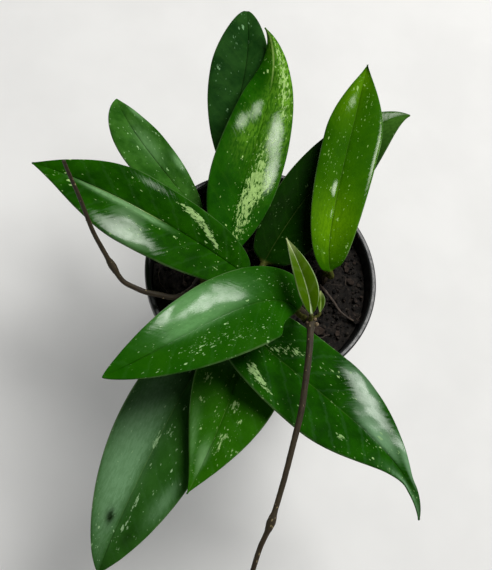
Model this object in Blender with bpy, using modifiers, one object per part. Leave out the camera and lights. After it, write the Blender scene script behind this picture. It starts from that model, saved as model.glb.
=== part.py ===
"""Potted hoya: waxy leaves on trailing stems, in a round nursery pot full of soil.

Places and sizes are written in millimetres and turned into metres by mm() or MM.
The origin is the middle of the pot's foot, +Z is up, and the long shoot trails to -Y.
"""
import math
from dataclasses import dataclass

import bmesh
import bpy
from mathutils import Vector, noise

MM = 0.001
UP = Vector((0.0, 0.0, 1.0))

# Pot
RIM_RADIUS = 50.0
POT_HEIGHT = 88.0
FOOT_RADIUS = 35.0
WALL = 1.4
LIP_WIDTH = 2.6
LIP_DEPTH = 4.6
LIP_INSET = 0.7
EDGE_ROUND = 0.7
COLLAR_DROP = 18.4
COLLAR_STEP = 1.5
COLLAR_INSET = 3.2
FLOOR_TOP = 4.0
RECESS_HEIGHT = 2.4
CENTRE_PAD_RADIUS = 12.0
FOOT_RING_WIDTH = 4.0
DRAIN_HOLES = 6
DRAIN_RING_RADIUS = 21.5
DRAIN_HOLE_RADIUS = 3.5
DRAIN_TURN = 0.37
ROUND_STEPS = 48

# Soil
SOIL_TOP = 83.0
GAP = 0.3
SOIL_EDGE_DROP = 1.4
SOIL_RINGS = 8
LUMP_HEIGHT = 1.5
LUMP_SIZE = 11.0
CRUMB_HEIGHT = 0.8
CRUMB_SIZE = 5.0
MOUND_HEIGHT = 0.6
HOLE_CLEARANCE = 0.8

# Stems
STEM_SAMPLE = 4.0
NODE_SPREAD = 2.6
STEM_END_SHARE = 0.985
ROOT_SAMPLE = 3.0

# Leaves
PETIOLE_RADIUS = 1.35
PETIOLE_CLEARANCE = 0.4
PETIOLE_BEND = 0.55
BLADE_THICKNESS = 1.6
EDGE_THIN = 0.5
TIP_THICKNESS = 0.75
SMALLEST_HALF_WIDTH = 0.35
DRIP_HALF_WIDTH = 2.2
ARCH = 0.03
EDGE_DROOP = 0.04
GROOVE_DEPTH = 0.25
GROOVE_SHARE = 0.07
KEEL_DEPTH = 0.6
KEEL_SHARE = 0.1
PETIOLE_SECTIONS = 5
BLADE_SECTIONS = 18
COLUMNS = (-1.0, -0.68, -0.34, 0.0, 0.34, 0.68, 1.0)
BLEND_SHARE = 0.05


@dataclass
class Stem:
    """A stem's route in mm, from its buried end, and the radius at both ends."""

    route: tuple
    radius: tuple
    nodes: tuple
    swell: float = 0.6


@dataclass
class Leaf:
    """A leaf: the stem node it grows from and four points that its midrib passes."""

    stem: str
    node: int
    midrib: tuple
    width: float
    widest: float = 0.5
    tip_power: float = 0.85
    base_power: float = 0.8
    fold: float = 15.0
    bank: float = 0.0
    lean: float = 0.0
    tuck: float = 0.0
    ripple: float = 0.0
    ripple_turns: float = 1.5
    drip: float = 0.0
    petiole: float = PETIOLE_RADIUS
    thickness: float = BLADE_THICKNESS


STEMS = {
    "stem_front": Stem(
        route=((8.5, -2, 60), (9, -4.5, 72), (9.5, -7, 84), (10, -14, 95), (11.5, -23, 105.5),
               (13.5, -30, 113), (14.2, -34.5, 116.8), (13.8, -41, 118), (13, -50, 117.5),
               (11.8, -60, 115.5), (10.5, -70, 113), (8, -81, 110), (4.5, -95.5, 106),
               (0.5, -109.5, 101.5), (-3, -118, 97), (-5, -125.5, 92), (-6.5, -132.5, 86),
               (-7.5, -139, 78)),
        radius=(1.6, 0.9),
        nodes=((14.2, -34.5, 116.8), (0.5, -109.5, 101.5)),
        swell=0.7),
    "stem_left": Stem(
        route=((-21.5, 6.5, 60), (-23, 3.5, 72), (-24.5, 0.5, 84), (-27.5, -8, 92.5),
               (-32, -14.5, 95.5), (-37.5, -17.5, 95.5), (-43.5, -17, 96), (-49.5, -16.5, 97),
               (-54, -15.5, 98.5), (-59, -14, 101), (-63.5, -9.5, 105), (-66.5, -6.5, 109),
               (-72, -0.5, 117), (-77.5, 7, 129), (-82, 11.5, 140), (-84, 13, 146.5)),
        radius=(1.5, 0.7),
        nodes=((-27.5, -8, 92.5), (-63.5, -9.5, 105)),
        swell=0.6),
    "stem_centre": Stem(
        route=((-3.5, 0, 60), (-5, -3, 72), (-6.5, -6, 84), (-7.5, -9, 89), (-6, -11.5, 97),
               (0, -19, 106), (2.5, -21.5, 110)),
        radius=(2.0, 1.3),
        nodes=((-7.5, -9, 89), (-6, -11.5, 97), (0, -19, 106)),
        swell=0.5),
    "stem_back": Stem(
        route=((-14, 11.5, 60), (-14.5, 12, 72), (-15, 12.5, 84), (-15, 13.5, 88), (-15.5, 13, 93),
               (-15.5, 12.5, 96.5)),
        radius=(1.8, 1.2),
        nodes=((-15, 13.5, 88), (-15.5, 13, 93)),
        swell=0.4),
    "stem_right": Stem(
        route=((26.5, -1, 60), (27, -0.5, 72), (27.5, 0, 84), (27.5, 2, 86), (28, 5, 87.5)),
        radius=(1.7, 1.3),
        nodes=((27.5, 2, 86),),
        swell=0.3),
}

LEAVES = {
    "leaf_left": Leaf(
        stem="stem_centre", node=2,
        midrib=((-9, -11.5, 106), (-29, 1.5, 107.5), (-61, 16.5, 112.5), (-98, 27.5, 118.5)),
        width=33, widest=0.62, tip_power=1.06, base_power=0.5, fold=13, bank=4, lean=-0.12,
        ripple=0.8),
    "leaf_upper_left": Leaf(
        stem="stem_back", node=1,
        midrib=((-26.5, 19.5, 94), (-38.5, 33.5, 96.5), (-55.5, 56.5, 96.5), (-66, 77, 95.5)),
        width=24, widest=0.56, tip_power=0.91, base_power=0.9, fold=16, bank=-9, lean=-0.17),
    "leaf_top_back": Leaf(
        stem="stem_back", node=0,
        midrib=((-12.5, 33, 90.5), (-14.5, 63, 94.5), (-10, 90, 101), (-9.5, 123, 107)),
        width=27, widest=0.68, tip_power=0.56, base_power=1.28, fold=14.5, bank=-3, lean=-0.2),
    "leaf_top_front": Leaf(
        stem="stem_left", node=0,
        midrib=((-16.3, 1, 99), (-9.7, 38, 105), (0.8, 79, 109.5), (-2, 110.5, 112)),
        width=30.5, widest=0.35, tip_power=1.15, base_power=0.67, fold=6, bank=-8.5, tuck=-80),
    "leaf_right_upper": Leaf(
        stem="stem_right", node=0,
        midrib=((28, -2, 96), (28, 21, 104), (36, 58.5, 110), (43.5, 91.5, 116.5)),
        width=25.5, widest=0.65, tip_power=1.3, base_power=0.51, fold=11, bank=6, lean=0.1,
        ripple=1.4, ripple_turns=1.2, petiole=1.1),
    "leaf_right_back": Leaf(
        stem="stem_centre", node=0,
        midrib=((0, 2.5, 90), (16.5, 31.5, 92.5), (42, 64, 95), (68, 80, 97)),
        width=32, widest=0.41, tip_power=0.97, base_power=0.42, fold=14, lean=0.18),
    "leaf_centre": Leaf(
        stem="stem_front", node=0,
        midrib=((9.5, -30.5, 116.5), (-8.5, -29.5, 120), (-35.5, -44.5, 120), (-65, -63, 122)),
        width=34, widest=0.44, tip_power=0.8, base_power=0.34, fold=12.5, lean=-0.08, ripple=0.5,
        petiole=1.1),
    "leaf_lower_right": Leaf(
        stem="stem_left", node=0,
        midrib=((-17, -17.5, 102), (2.5, -43.5, 102), (41, -72.5, 95.5), (61, -104.5, 90)),
        width=40, widest=0.56, tip_power=1.3, base_power=0.58, fold=10, bank=7, lean=0.02,
        ripple=0.8, drip=0.12),
    "leaf_lower_left": Leaf(
        stem="stem_centre", node=0,
        midrib=((-15, -28.5, 92), (-32, -54.5, 88.8), (-51.5, -96.5, 80), (-62, -123.5, 66)),
        width=40.5, widest=0.45, tip_power=1.18, base_power=0.71, fold=15, bank=9.5, lean=-0.04,
        ripple=0.6),
    "leaf_lower_middle": Leaf(
        stem="stem_centre", node=1,
        midrib=((-2.7, -28, 96.2), (-9.2, -45, 94.7), (-18.7, -71.5, 93.2), (-30.2, -97, 89.2)),
        width=36.5, widest=0.42, tip_power=1.2, base_power=0.35, fold=13.5, bank=-1, lean=-0.05),
    "young_leaf_front": Leaf(
        stem="stem_front", node=0,
        midrib=((13.7, -33, 121.5), (11, -24.5, 127), (6.8, -15.5, 131), (2, -7, 134)),
        width=9.5, widest=0.36, tip_power=1.0, base_power=0.7, fold=24, petiole=0.8,
        thickness=0.9),
    "young_leaf_back": Leaf(
        stem="stem_front", node=0,
        midrib=((17.6, -31, 119.6), (17.7, -28.3, 120.7), (17.6, -25.7, 121.8), (17.3, -23.3, 122.8)),
        width=3.6, widest=0.5, tip_power=0.9, base_power=0.8, fold=20, petiole=0.6,
        thickness=0.9),
}

ROOT_ROUTE = ((23.5, 0.5), (24.9, -2.3), (27.5, -5.5), (31, -10), (34, -14), (37.5, -17), (40, -18.5))
ROOT_RADIUS = 0.7

COLOURS = {
    "pot": ((0.022, 0.024, 0.026), 0.42),
    "soil": ((0.022, 0.017, 0.012), 0.95),
    "stem": ((0.075, 0.048, 0.025), 0.6),
    "root": ((0.11, 0.075, 0.045), 0.8),
    "leaf": ((0.025, 0.11, 0.012), 0.32),
    "leaf_bright": ((0.06, 0.19, 0.012), 0.32),
    "young": ((0.10, 0.22, 0.03), 0.4),
}
LEAF_COLOURS = {"leaf_right_upper": "leaf_bright", "young_leaf_front": "young",
                "young_leaf_back": "young"}


def mm(*point):
    """A point given in millimetres, as a vector in metres."""
    return Vector(point) * MM


def smoothstep(value):
    value = min(max(value, 0.0), 1.0)
    return value * value * (3.0 - 2.0 * value)


# Scene set-up

def clear_scene():
    for obj in list(bpy.data.objects):
        bpy.data.objects.remove(obj, do_unlink=True)


def new_collection(name):
    collection = bpy.data.collections.new(name)
    bpy.context.scene.collection.children.link(collection)
    return collection


def make_materials():
    materials = {}
    for name, (colour, roughness) in COLOURS.items():
        material = bpy.data.materials.new(name)
        material.use_nodes = True
        shader = material.node_tree.nodes["Principled BSDF"]
        shader.inputs["Base Color"].default_value = (*colour, 1.0)
        shader.inputs["Roughness"].default_value = roughness
        shader.inputs["Metallic"].default_value = 0.0
        materials[name] = material
    return materials


def add_object(name, data, collection, material=None):
    obj = bpy.data.objects.new(name, data)
    collection.objects.link(obj)
    if material:
        obj.data.materials.append(material)
    return obj


def profile_mesh(name, profile):
    """An open outline of (radius, height) points at +X, for a Screw modifier."""
    mesh = bpy.data.meshes.new(name)
    points = [mm(radius, 0, height) for radius, height in profile]
    mesh.from_pydata(points, [(i, i + 1) for i in range(len(points) - 1)], [])
    return mesh


def add_screw(obj):
    screw = obj.modifiers.new("turn", "SCREW")
    screw.axis = "Z"
    screw.angle = math.tau
    screw.steps = ROUND_STEPS
    screw.render_steps = ROUND_STEPS
    screw.use_merge_vertices = True
    screw.merge_threshold = 0.00001


def cylinder_cutter(name, start, end, radius, collection, sides=12):
    """A closed cylinder from start to end, for a Boolean."""
    axis = end - start
    bm = bmesh.new()
    bmesh.ops.create_cone(bm, cap_ends=True, segments=sides, radius1=radius, radius2=radius,
                          depth=axis.length)
    mesh = bpy.data.meshes.new(name)
    bm.to_mesh(mesh)
    bm.free()
    cutter = add_object(name, mesh, collection)
    cutter.location = (start + end) / 2
    cutter.rotation_euler = UP.rotation_difference(axis).to_euler()
    cutter.hide_render = True
    cutter.display_type = "WIRE"
    return cutter


def cut_with(obj, cutters):
    for cutter in cutters:
        boolean = obj.modifiers.new("cut " + cutter.name, "BOOLEAN")
        boolean.operation = "DIFFERENCE"
        boolean.solver = "EXACT"
        boolean.object = cutter


# Pot and soil

def inner_wall(clearance=0.0):
    """The pot's inner wall from its floor up, as (radius, height), moved in by clearance."""
    collar = POT_HEIGHT - COLLAR_DROP
    lip = RIM_RADIUS - LIP_WIDTH
    return [
        (FOOT_RADIUS - WALL - clearance, FLOOR_TOP + clearance),
        (RIM_RADIUS - COLLAR_INSET - WALL - COLLAR_STEP - clearance, collar - 1.2),
        (RIM_RADIUS - COLLAR_INSET - WALL - clearance, collar + 0.8),
        (lip - LIP_INSET - clearance, POT_HEIGHT - LIP_DEPTH),
    ]


def outer_wall():
    """The pot's outer side from the lip down to the foot, as (radius, height)."""
    collar = POT_HEIGHT - COLLAR_DROP
    under_lip = POT_HEIGHT - LIP_DEPTH
    return [
        (RIM_RADIUS - LIP_WIDTH, POT_HEIGHT - EDGE_ROUND),
        (RIM_RADIUS - LIP_WIDTH + EDGE_ROUND, POT_HEIGHT),
        (RIM_RADIUS - EDGE_ROUND, POT_HEIGHT),
        (RIM_RADIUS, POT_HEIGHT - EDGE_ROUND),
        (RIM_RADIUS - 0.3, under_lip + 0.3),
        (RIM_RADIUS - LIP_INSET, under_lip),
        (RIM_RADIUS - COLLAR_INSET + 0.8, under_lip - 0.4),
        (RIM_RADIUS - COLLAR_INSET, collar),
        (RIM_RADIUS - COLLAR_INSET - COLLAR_STEP, collar - 1.8),
        (FOOT_RADIUS + 0.5, 2.2),
        (FOOT_RADIUS - 0.5, 0.0),
    ]


def make_pot(collection, cutters, material):
    ring_inner = FOOT_RADIUS - FOOT_RING_WIDTH
    underside = [(ring_inner, 0.0), (ring_inner - 0.6, RECESS_HEIGHT),
                 (CENTRE_PAD_RADIUS, RECESS_HEIGHT), (CENTRE_PAD_RADIUS - 0.6, 0.0), (0.0, 0.0)]
    profile = [(0.0, FLOOR_TOP)] + inner_wall() + outer_wall() + underside
    pot = add_object("pot", profile_mesh("pot", profile), collection, material)
    add_screw(pot)
    holes = []
    for index in range(DRAIN_HOLES):
        angle = math.tau * index / DRAIN_HOLES + DRAIN_TURN
        x, y = DRAIN_RING_RADIUS * math.cos(angle), DRAIN_RING_RADIUS * math.sin(angle)
        holes.append(cylinder_cutter(f"drain_{index}", mm(x, y, -2), mm(x, y, FLOOR_TOP + 2),
                                     DRAIN_HOLE_RADIUS * MM, cutters))
    cut_with(pot, holes)
    return pot


def soil_height(x, y):
    """Height of the lumpy soil in mm at a place in mm."""
    lumps = LUMP_HEIGHT * noise.noise(Vector((x / LUMP_SIZE, y / LUMP_SIZE, 0.3)))
    crumbs = CRUMB_HEIGHT * noise.noise(Vector((x / CRUMB_SIZE, y / CRUMB_SIZE, 4.7)))
    edge = smoothstep((RIM_RADIUS - 5.0 - math.hypot(x, y)) / 8.0)
    return SOIL_TOP + (lumps + crumbs + MOUND_HEIGHT) * edge


def make_soil(collection, cutters, material):
    walls = [point for point in reversed(inner_wall(GAP)) if point[1] < SOIL_TOP - 1.0]
    edge_radius = RIM_RADIUS - LIP_WIDTH - LIP_INSET - 2.0 * GAP
    rings = [(edge_radius * index / SOIL_RINGS, SOIL_TOP) for index in range(SOIL_RINGS)]
    profile = rings + [(edge_radius - 0.4, SOIL_TOP - 0.2), (edge_radius, SOIL_TOP - SOIL_EDGE_DROP)]
    profile += walls + [(0.0, FLOOR_TOP + GAP)]
    blank = add_object("soil_blank", profile_mesh("soil_blank", profile), collection)
    add_screw(blank)
    mesh = mesh_from(blank, "soil")
    bpy.data.objects.remove(blank, do_unlink=True)
    for vertex in mesh.vertices:
        if vertex.co.z > (SOIL_TOP - 0.5) * MM:
            x, y = vertex.co.x / MM, vertex.co.y / MM
            vertex.co.z = soil_height(x, y) * MM
    soil = add_object("soil", mesh, collection, material)
    cut_with(soil, [stem_hole(name, stem, cutters) for name, stem in STEMS.items()])
    return soil


def stem_hole(name, stem, cutters):
    """The plain hole in the soil in which a stem stands."""
    foot, above = Vector(stem.route[0]), Vector(stem.route[2])
    along = (above - foot).normalized()
    radius = stem.radius[0] + HOLE_CLEARANCE
    return cylinder_cutter(name + "_hole", (foot - along * HOLE_CLEARANCE) * MM,
                           (above + along * 4.0) * MM, radius * MM, cutters, sides=14)


def mesh_from(obj, name):
    """The evaluated mesh of an object, with the loose points of its caps joined."""
    graph = bpy.context.evaluated_depsgraph_get()
    mesh = bpy.data.meshes.new_from_object(obj.evaluated_get(graph))
    mesh.name = name
    bm = bmesh.new()
    bm.from_mesh(mesh)
    bmesh.ops.remove_doubles(bm, verts=bm.verts, dist=0.00001)
    bm.to_mesh(mesh)
    bm.free()
    return mesh


# Stems

def smooth_route(points, spacing):
    """Points along a Catmull-Rom curve through the given ones, about spacing apart."""
    padded = [points[0] * 2 - points[1]] + list(points) + [points[-1] * 2 - points[-2]]
    route = []
    for before, start, end, after in zip(padded, padded[1:], padded[2:], padded[3:]):
        count = max(1, round((end - start).length / spacing))
        for step in range(count):
            t = step / count
            route.append(0.5 * (2 * start + (end - before) * t
                                + (2 * before - 5 * start + 4 * end - after) * t ** 2
                                + (3 * start - before - 3 * end + after) * t ** 3))
    route.append(points[-1])
    return route


def tube(name, route, radii, collection, material):
    """A round tube along a route, with a radius in mm at each point."""
    curve = bpy.data.curves.new(name, "CURVE")
    curve.dimensions = "3D"
    curve.bevel_depth = MM
    curve.bevel_resolution = 2
    curve.use_fill_caps = True
    spline = curve.splines.new("POLY")
    spline.points.add(len(route) - 1)
    for point, place, radius in zip(spline.points, route, radii):
        point.co = (*(place * MM), 1.0)
        point.radius = radius
    return add_object(name, curve, collection, material)


def stem_radius(stem, share, place):
    """Radius in mm at a share of the length: an even taper with a swelling at each node."""
    radius = stem.radius[0] + (stem.radius[1] - stem.radius[0]) * share
    for node in stem.nodes:
        distance = (place - Vector(node)).length / NODE_SPREAD
        radius += stem.swell * math.exp(-distance * distance)
    if share > STEM_END_SHARE:
        radius *= 0.6
    return radius


def stem_tube(stem, spacing=1.0):
    """Points along a stem, about spacing apart, and the radius in mm at each."""
    route = smooth_route([Vector(point) for point in stem.route], spacing)
    last = len(route) - 1
    return route, [stem_radius(stem, index / last, place) for index, place in enumerate(route)]


def make_stem(name, stem, collection, material):
    route, radii = stem_tube(stem, STEM_SAMPLE)
    return tube(name, route, radii, collection, material)


def make_root(collection, material):
    """A thin root that lies on the soil."""
    route = smooth_route([Vector((x, y, 0)) for x, y in ROOT_ROUTE], ROOT_SAMPLE)
    for place in route:
        place.z = soil_height(place.x, place.y) + ROOT_RADIUS + 2.0 * GAP
    radii = [ROOT_RADIUS * (1.0 - 0.4 * index / len(route)) for index in range(len(route))]
    return tube("surface_root", route, radii, collection, material)


# Leaves

def midrib_point(leaf, s):
    """Point in mm at share s of the blade, on the cubic through the four midrib points."""
    base, first, second, tip = (Vector(point) for point in leaf.midrib)
    near = (-5 * base + 18 * first - 9 * second + 2 * tip) / 6
    far = (2 * base - 9 * first + 18 * second - 5 * tip) / 6
    r = 1 - s
    return base * r ** 3 + near * (3 * s * r ** 2) + far * (3 * s ** 2 * r) + tip * s ** 3


def blade_direction(leaf, s):
    step = 0.002
    ahead = midrib_point(leaf, min(s + step, 1.0))
    behind = midrib_point(leaf, max(s - step, 0.0))
    return (ahead - behind).normalized()


def half_width(leaf, s):
    """Half of the blade's width in mm at share s."""
    body = 1.0 - leaf.drip
    q = min(s / body, 1.0)
    if q < leaf.widest:
        share = math.sin(math.pi / 2 * q / leaf.widest) ** leaf.base_power
    else:
        share = math.cos(math.pi / 2 * (q - leaf.widest) / (1 - leaf.widest)) ** leaf.tip_power
    width = leaf.width / 2 * share
    if leaf.drip and s > 0.5:
        width = math.hypot(width, DRIP_HALF_WIDTH * min((1 - s) / leaf.drip, 1.0) ** 0.8)
    return max(width, SMALLEST_HALF_WIDTH)


def axes(direction, roll):
    """Right and normal of a section across a direction, rolled by an angle in degrees."""
    right = direction.cross(UP).normalized()
    normal = right.cross(direction)
    angle = math.radians(roll)
    return (right * math.cos(angle) + normal * math.sin(angle),
            normal * math.cos(angle) - right * math.sin(angle))


def section_curve(leaf, s, v):
    """Place across the blade, as (right, up) in half widths, at column v from -1 to 1."""
    fold = math.radians(leaf.fold)
    if v < 0:
        fold += math.radians(leaf.tuck) * smoothstep(2 * s - 1)
    side = 1 + leaf.lean * (1 if v > 0 else -1)
    size = abs(v)
    rise = size * math.sin(fold) + ARCH * math.sin(math.pi * size) - EDGE_DROOP * size ** 3
    return v * math.cos(fold) * side, rise * side


def section_normal(leaf, s, v):
    """Unit normal of the section curve, as (right, up)."""
    step = 0.02
    x0, h0 = section_curve(leaf, s, max(v - step, -1.0))
    x1, h1 = section_curve(leaf, s, min(v + step, 1.0))
    length = math.hypot(x1 - x0, h1 - h0)
    return -(h1 - h0) / length, (x1 - x0) / length


def blade_point(leaf, s, v, face):
    """Point in mm on the upper (face 1) or lower (face -1) side of the blade."""
    direction = blade_direction(leaf, s)
    right, normal = axes(direction, leaf.bank)
    width = half_width(leaf, s)
    x, h = section_curve(leaf, s, v)
    nx, nh = section_normal(leaf, s, v)
    nx *= min(width / 4.0, 1.0)
    thickness = TIP_THICKNESS + (leaf.thickness - TIP_THICKNESS) * (1 - EDGE_THIN * v * v) \
        * min(width / 6.0, 1.0)
    offset = face * thickness / 2
    if face > 0:
        offset -= GROOVE_DEPTH * math.exp(-(v / GROOVE_SHARE) ** 2)
    else:
        offset -= KEEL_DEPTH * math.exp(-(v / KEEL_SHARE) ** 2) * min(width / 6.0, 1.0)
    wave = leaf.ripple * v * v * math.sin(math.tau * leaf.ripple_turns * s)
    return (midrib_point(leaf, s) + right * (x * width + nx * offset)
            + normal * (h * width + nh * offset + wave))


def stalk_start(stem, leaf, joint, out):
    """Where a stalk that leaves a node along out begins, just off the stem's surface."""
    route, radii = stem_tube(stem)
    side = out.orthogonal().normalized()
    across = out.cross(side)
    turns = [math.tau * index / 12 for index in range(12)]
    rim = [(side * math.cos(turn) + across * math.sin(turn)) * leaf.petiole for turn in turns]
    reach = 0.0
    while True:
        start = joint + out * reach
        nearest = min((start + offset - place).length - radius
                      for offset in rim for place, radius in zip(route, radii))
        if nearest > PETIOLE_CLEARANCE:
            return start
        reach += 0.05


def petiole_path(leaf):
    """Bezier handles in mm of the leaf stalk, from just off the stem to the blade."""
    stem = STEMS[leaf.stem]
    joint, base = Vector(stem.nodes[leaf.node]), Vector(leaf.midrib[0])
    out = (base - joint).normalized()
    start = stalk_start(stem, leaf, joint, out)
    length = (base - start).length
    bend = base - blade_direction(leaf, 0.0) * (length * PETIOLE_BEND)
    return start, start + out * (length * 0.3), bend, base


def petiole_point(path, t):
    r = 1 - t
    a, b, c, d = path
    return a * r ** 3 + b * (3 * t * r ** 2) + c * (3 * t ** 2 * r) + d * t ** 3


def ring_offset(index, count):
    """Direction, as (right, up), of point index on a stalk's round section."""
    half = count // 2
    step = math.pi / half
    if index < half:
        angle = math.pi - (index + 0.5) * step
    else:
        angle = -(index - half + 0.5) * step
    return math.cos(angle), math.sin(angle)


def petiole_ring(leaf, path, t, count):
    ahead, behind = petiole_point(path, min(t + 0.01, 1.0)), petiole_point(path, max(t - 0.01, 0))
    direction = (ahead - behind).normalized()
    blade_right = axes(blade_direction(leaf, 0.0), leaf.bank)[0]
    right = (blade_right - direction * direction.dot(blade_right)).normalized()
    normal = right.cross(direction)
    centre = petiole_point(path, t)
    ring = []
    for index in range(count):
        x, h = ring_offset(index, count)
        ring.append(centre + (right * x + normal * h) * leaf.petiole)
    return ring


def blade_ring(leaf, s, columns):
    """The closed section of the blade at share s, blended from the round stalk."""
    ring = [blade_point(leaf, s, v, 1) for v in columns]
    ring += [blade_point(leaf, s, v, -1) for v in reversed(columns)]
    blend = smoothstep(s / BLEND_SHARE)
    if blend < 1:
        right, normal = axes(blade_direction(leaf, s), leaf.bank)
        centre = midrib_point(leaf, s)
        for index, point in enumerate(ring):
            x, h = ring_offset(index, len(ring))
            round_point = centre + (right * x + normal * h) * leaf.petiole
            ring[index] = round_point.lerp(point, blend)
    return ring


def blade_shares(count):
    """Shares along the blade, closer together at both ends."""
    shares = []
    for index in range(count + 1):
        even = index / count
        shares.append(0.4 * even + 0.6 * (0.5 - 0.5 * math.cos(math.pi * even)))
    return shares


def loft(name, rings, tip):
    """A closed mesh through rings of equal count, ending in a point, split alike on both faces."""
    count = len(rings[0])
    half = count // 2
    vertices = [point * MM for ring in rings for point in ring]
    faces = [tuple(reversed(range(count)))]
    for row in range(len(rings) - 1):
        low, high = row * count, (row + 1) * count
        for index in range(count):
            after = (index + 1) % count
            a, b, c, d = low + index, high + index, high + after, low + after
            if index < half:
                faces += [(a, d, c), (a, c, b)]
            else:
                faces += [(a, d, b), (d, c, b)]
    top = (len(rings) - 1) * count
    vertices.append(tip * MM)
    faces += [(top + index, top + (index + 1) % count, len(vertices) - 1)
              for index in range(count)]
    mesh = bpy.data.meshes.new(name)
    mesh.from_pydata(vertices, [], faces)
    bm = bmesh.new()
    bm.from_mesh(mesh)
    bmesh.ops.recalc_face_normals(bm, faces=bm.faces)
    bm.to_mesh(mesh)
    bm.free()
    mesh.shade_smooth()
    return mesh


def make_leaf(name, leaf, collection, material):
    path = petiole_path(leaf)
    count = 2 * len(COLUMNS)
    rings = [petiole_ring(leaf, path, index / PETIOLE_SECTIONS, count)
             for index in range(PETIOLE_SECTIONS)]
    shares = blade_shares(BLADE_SECTIONS)
    rings += [blade_ring(leaf, s, COLUMNS) for s in shares[:-1]]
    mesh = loft(name, rings, midrib_point(leaf, 1.0))
    return add_object(name, mesh, collection, material)


def main():
    clear_scene()
    model = new_collection("potted_hoya")
    cutters = new_collection("cutters")
    materials = make_materials()
    make_pot(model, cutters, materials["pot"])
    make_soil(model, cutters, materials["soil"])
    for name, stem in STEMS.items():
        make_stem(name, stem, model, materials["stem"])
    make_root(model, materials["root"])
    for name, leaf in LEAVES.items():
        make_leaf(name, leaf, model, materials[LEAF_COLOURS.get(name, "leaf")])


main()
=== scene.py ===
import math
import random
from dataclasses import dataclass

import bmesh
import bpy
from mathutils import Matrix, Vector, noise


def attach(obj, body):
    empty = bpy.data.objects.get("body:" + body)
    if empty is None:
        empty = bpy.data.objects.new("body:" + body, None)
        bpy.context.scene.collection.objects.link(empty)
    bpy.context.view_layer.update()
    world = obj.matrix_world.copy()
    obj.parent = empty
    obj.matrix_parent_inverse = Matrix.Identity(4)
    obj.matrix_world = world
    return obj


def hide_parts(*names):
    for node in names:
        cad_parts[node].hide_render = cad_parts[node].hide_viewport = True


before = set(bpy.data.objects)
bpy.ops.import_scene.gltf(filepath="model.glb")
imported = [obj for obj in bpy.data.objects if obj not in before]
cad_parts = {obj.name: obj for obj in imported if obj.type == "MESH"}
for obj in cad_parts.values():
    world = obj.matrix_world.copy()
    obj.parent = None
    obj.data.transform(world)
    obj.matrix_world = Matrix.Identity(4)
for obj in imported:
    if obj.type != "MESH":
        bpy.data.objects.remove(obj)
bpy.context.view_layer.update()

# Places and sizes are in millimetres and turned into metres by MM.
MM = 0.001
UP = Vector((0.0, 0.0, 1.0))

# Pot and soil, as in the part
RIM_RADIUS = 50.0
POT_HEIGHT = 88.0
FOOT_RADIUS = 35.0
WALL = 1.4
LIP_WIDTH = 2.6
LIP_DEPTH = 4.6
LIP_INSET = 0.7
COLLAR_DROP = 18.4
COLLAR_STEP = 1.5
COLLAR_INSET = 3.2
FLOOR_TOP = 4.0
RECESS_HEIGHT = 2.4
CENTRE_PAD_RADIUS = 12.0
FOOT_RING_WIDTH = 4.0
DRAIN_HOLES = 6
DRAIN_RING_RADIUS = 21.5
DRAIN_HOLE_RADIUS = 3.5
DRAIN_TURN = 0.37
POT_STEPS = 192
SOIL_TOP = 83.0
GAP = 0.3
LUMP_HEIGHT = 1.5
LUMP_SIZE = 11.0
CRUMB_HEIGHT = 0.8
CRUMB_SIZE = 5.0
MOUND_HEIGHT = 0.6
SOIL_RINGS, SOIL_SIDES = 84, 230
LUMP_REACH, LUMP_LIMIT = 45.2, 46.0
STEM_MARGIN = 2.4
FIBRE_REACH, FIBRE_LIMIT, TUFT_LIMIT = 43.0, 45.3, 46.2

# Stems and leaves, as in the part but finer
NODE_SPREAD = 2.6
PETIOLE_RADIUS = 1.35
PETIOLE_CLEARANCE = 0.4
PETIOLE_BEND = 0.55
BLADE_THICKNESS = 1.6
EDGE_THIN = 0.5
TIP_THICKNESS = 0.75
SMALLEST_HALF_WIDTH = 0.35
DRIP_HALF_WIDTH = 2.2
ARCH = 0.03
EDGE_DROOP = 0.04
BLEND_SHARE = 0.05
PETIOLE_ROWS = 26
BLADE_ROWS = 150
HALF_COLUMNS = 21
SIDE_VEIN_SPACING = 8.5
SIDE_VEIN_SLANT = 0.9
GROOVE_DEPTH, GROOVE_SPREAD = 0.24, 0.045
KEEL_HEIGHT, KEEL_SPREAD = 0.7, 0.08
LEAF_LAYERS = ("leaf_mm", "leaf_share", "leaf_marks", "leaf_gloss")

# Photo camera
VIEW_AZIMUTH = 17.0
VIEW_ELEVATION = 64.0
VIEW_DISTANCE = 450.0
PIXELS_PER_MM = 2.342
PHOTO_WIDTH, PHOTO_HEIGHT = 492, 570
RIM_CENTRE_PIXEL = (262.2, 272.2)


def rgb(red, green, blue):
    """Linear colour of an 8-bit sRGB one."""
    out = []
    for value in (red, green, blue):
        value /= 255.0
        out.append(value / 12.92 if value <= 0.04045 else ((value + 0.055) / 1.055) ** 2.4)
    return tuple(out)


@dataclass
class Stem:
    """A stem's route in mm, from its buried end, and the radius at both ends."""

    route: tuple
    radius: tuple
    nodes: tuple
    swell: float = 0.6


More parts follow.
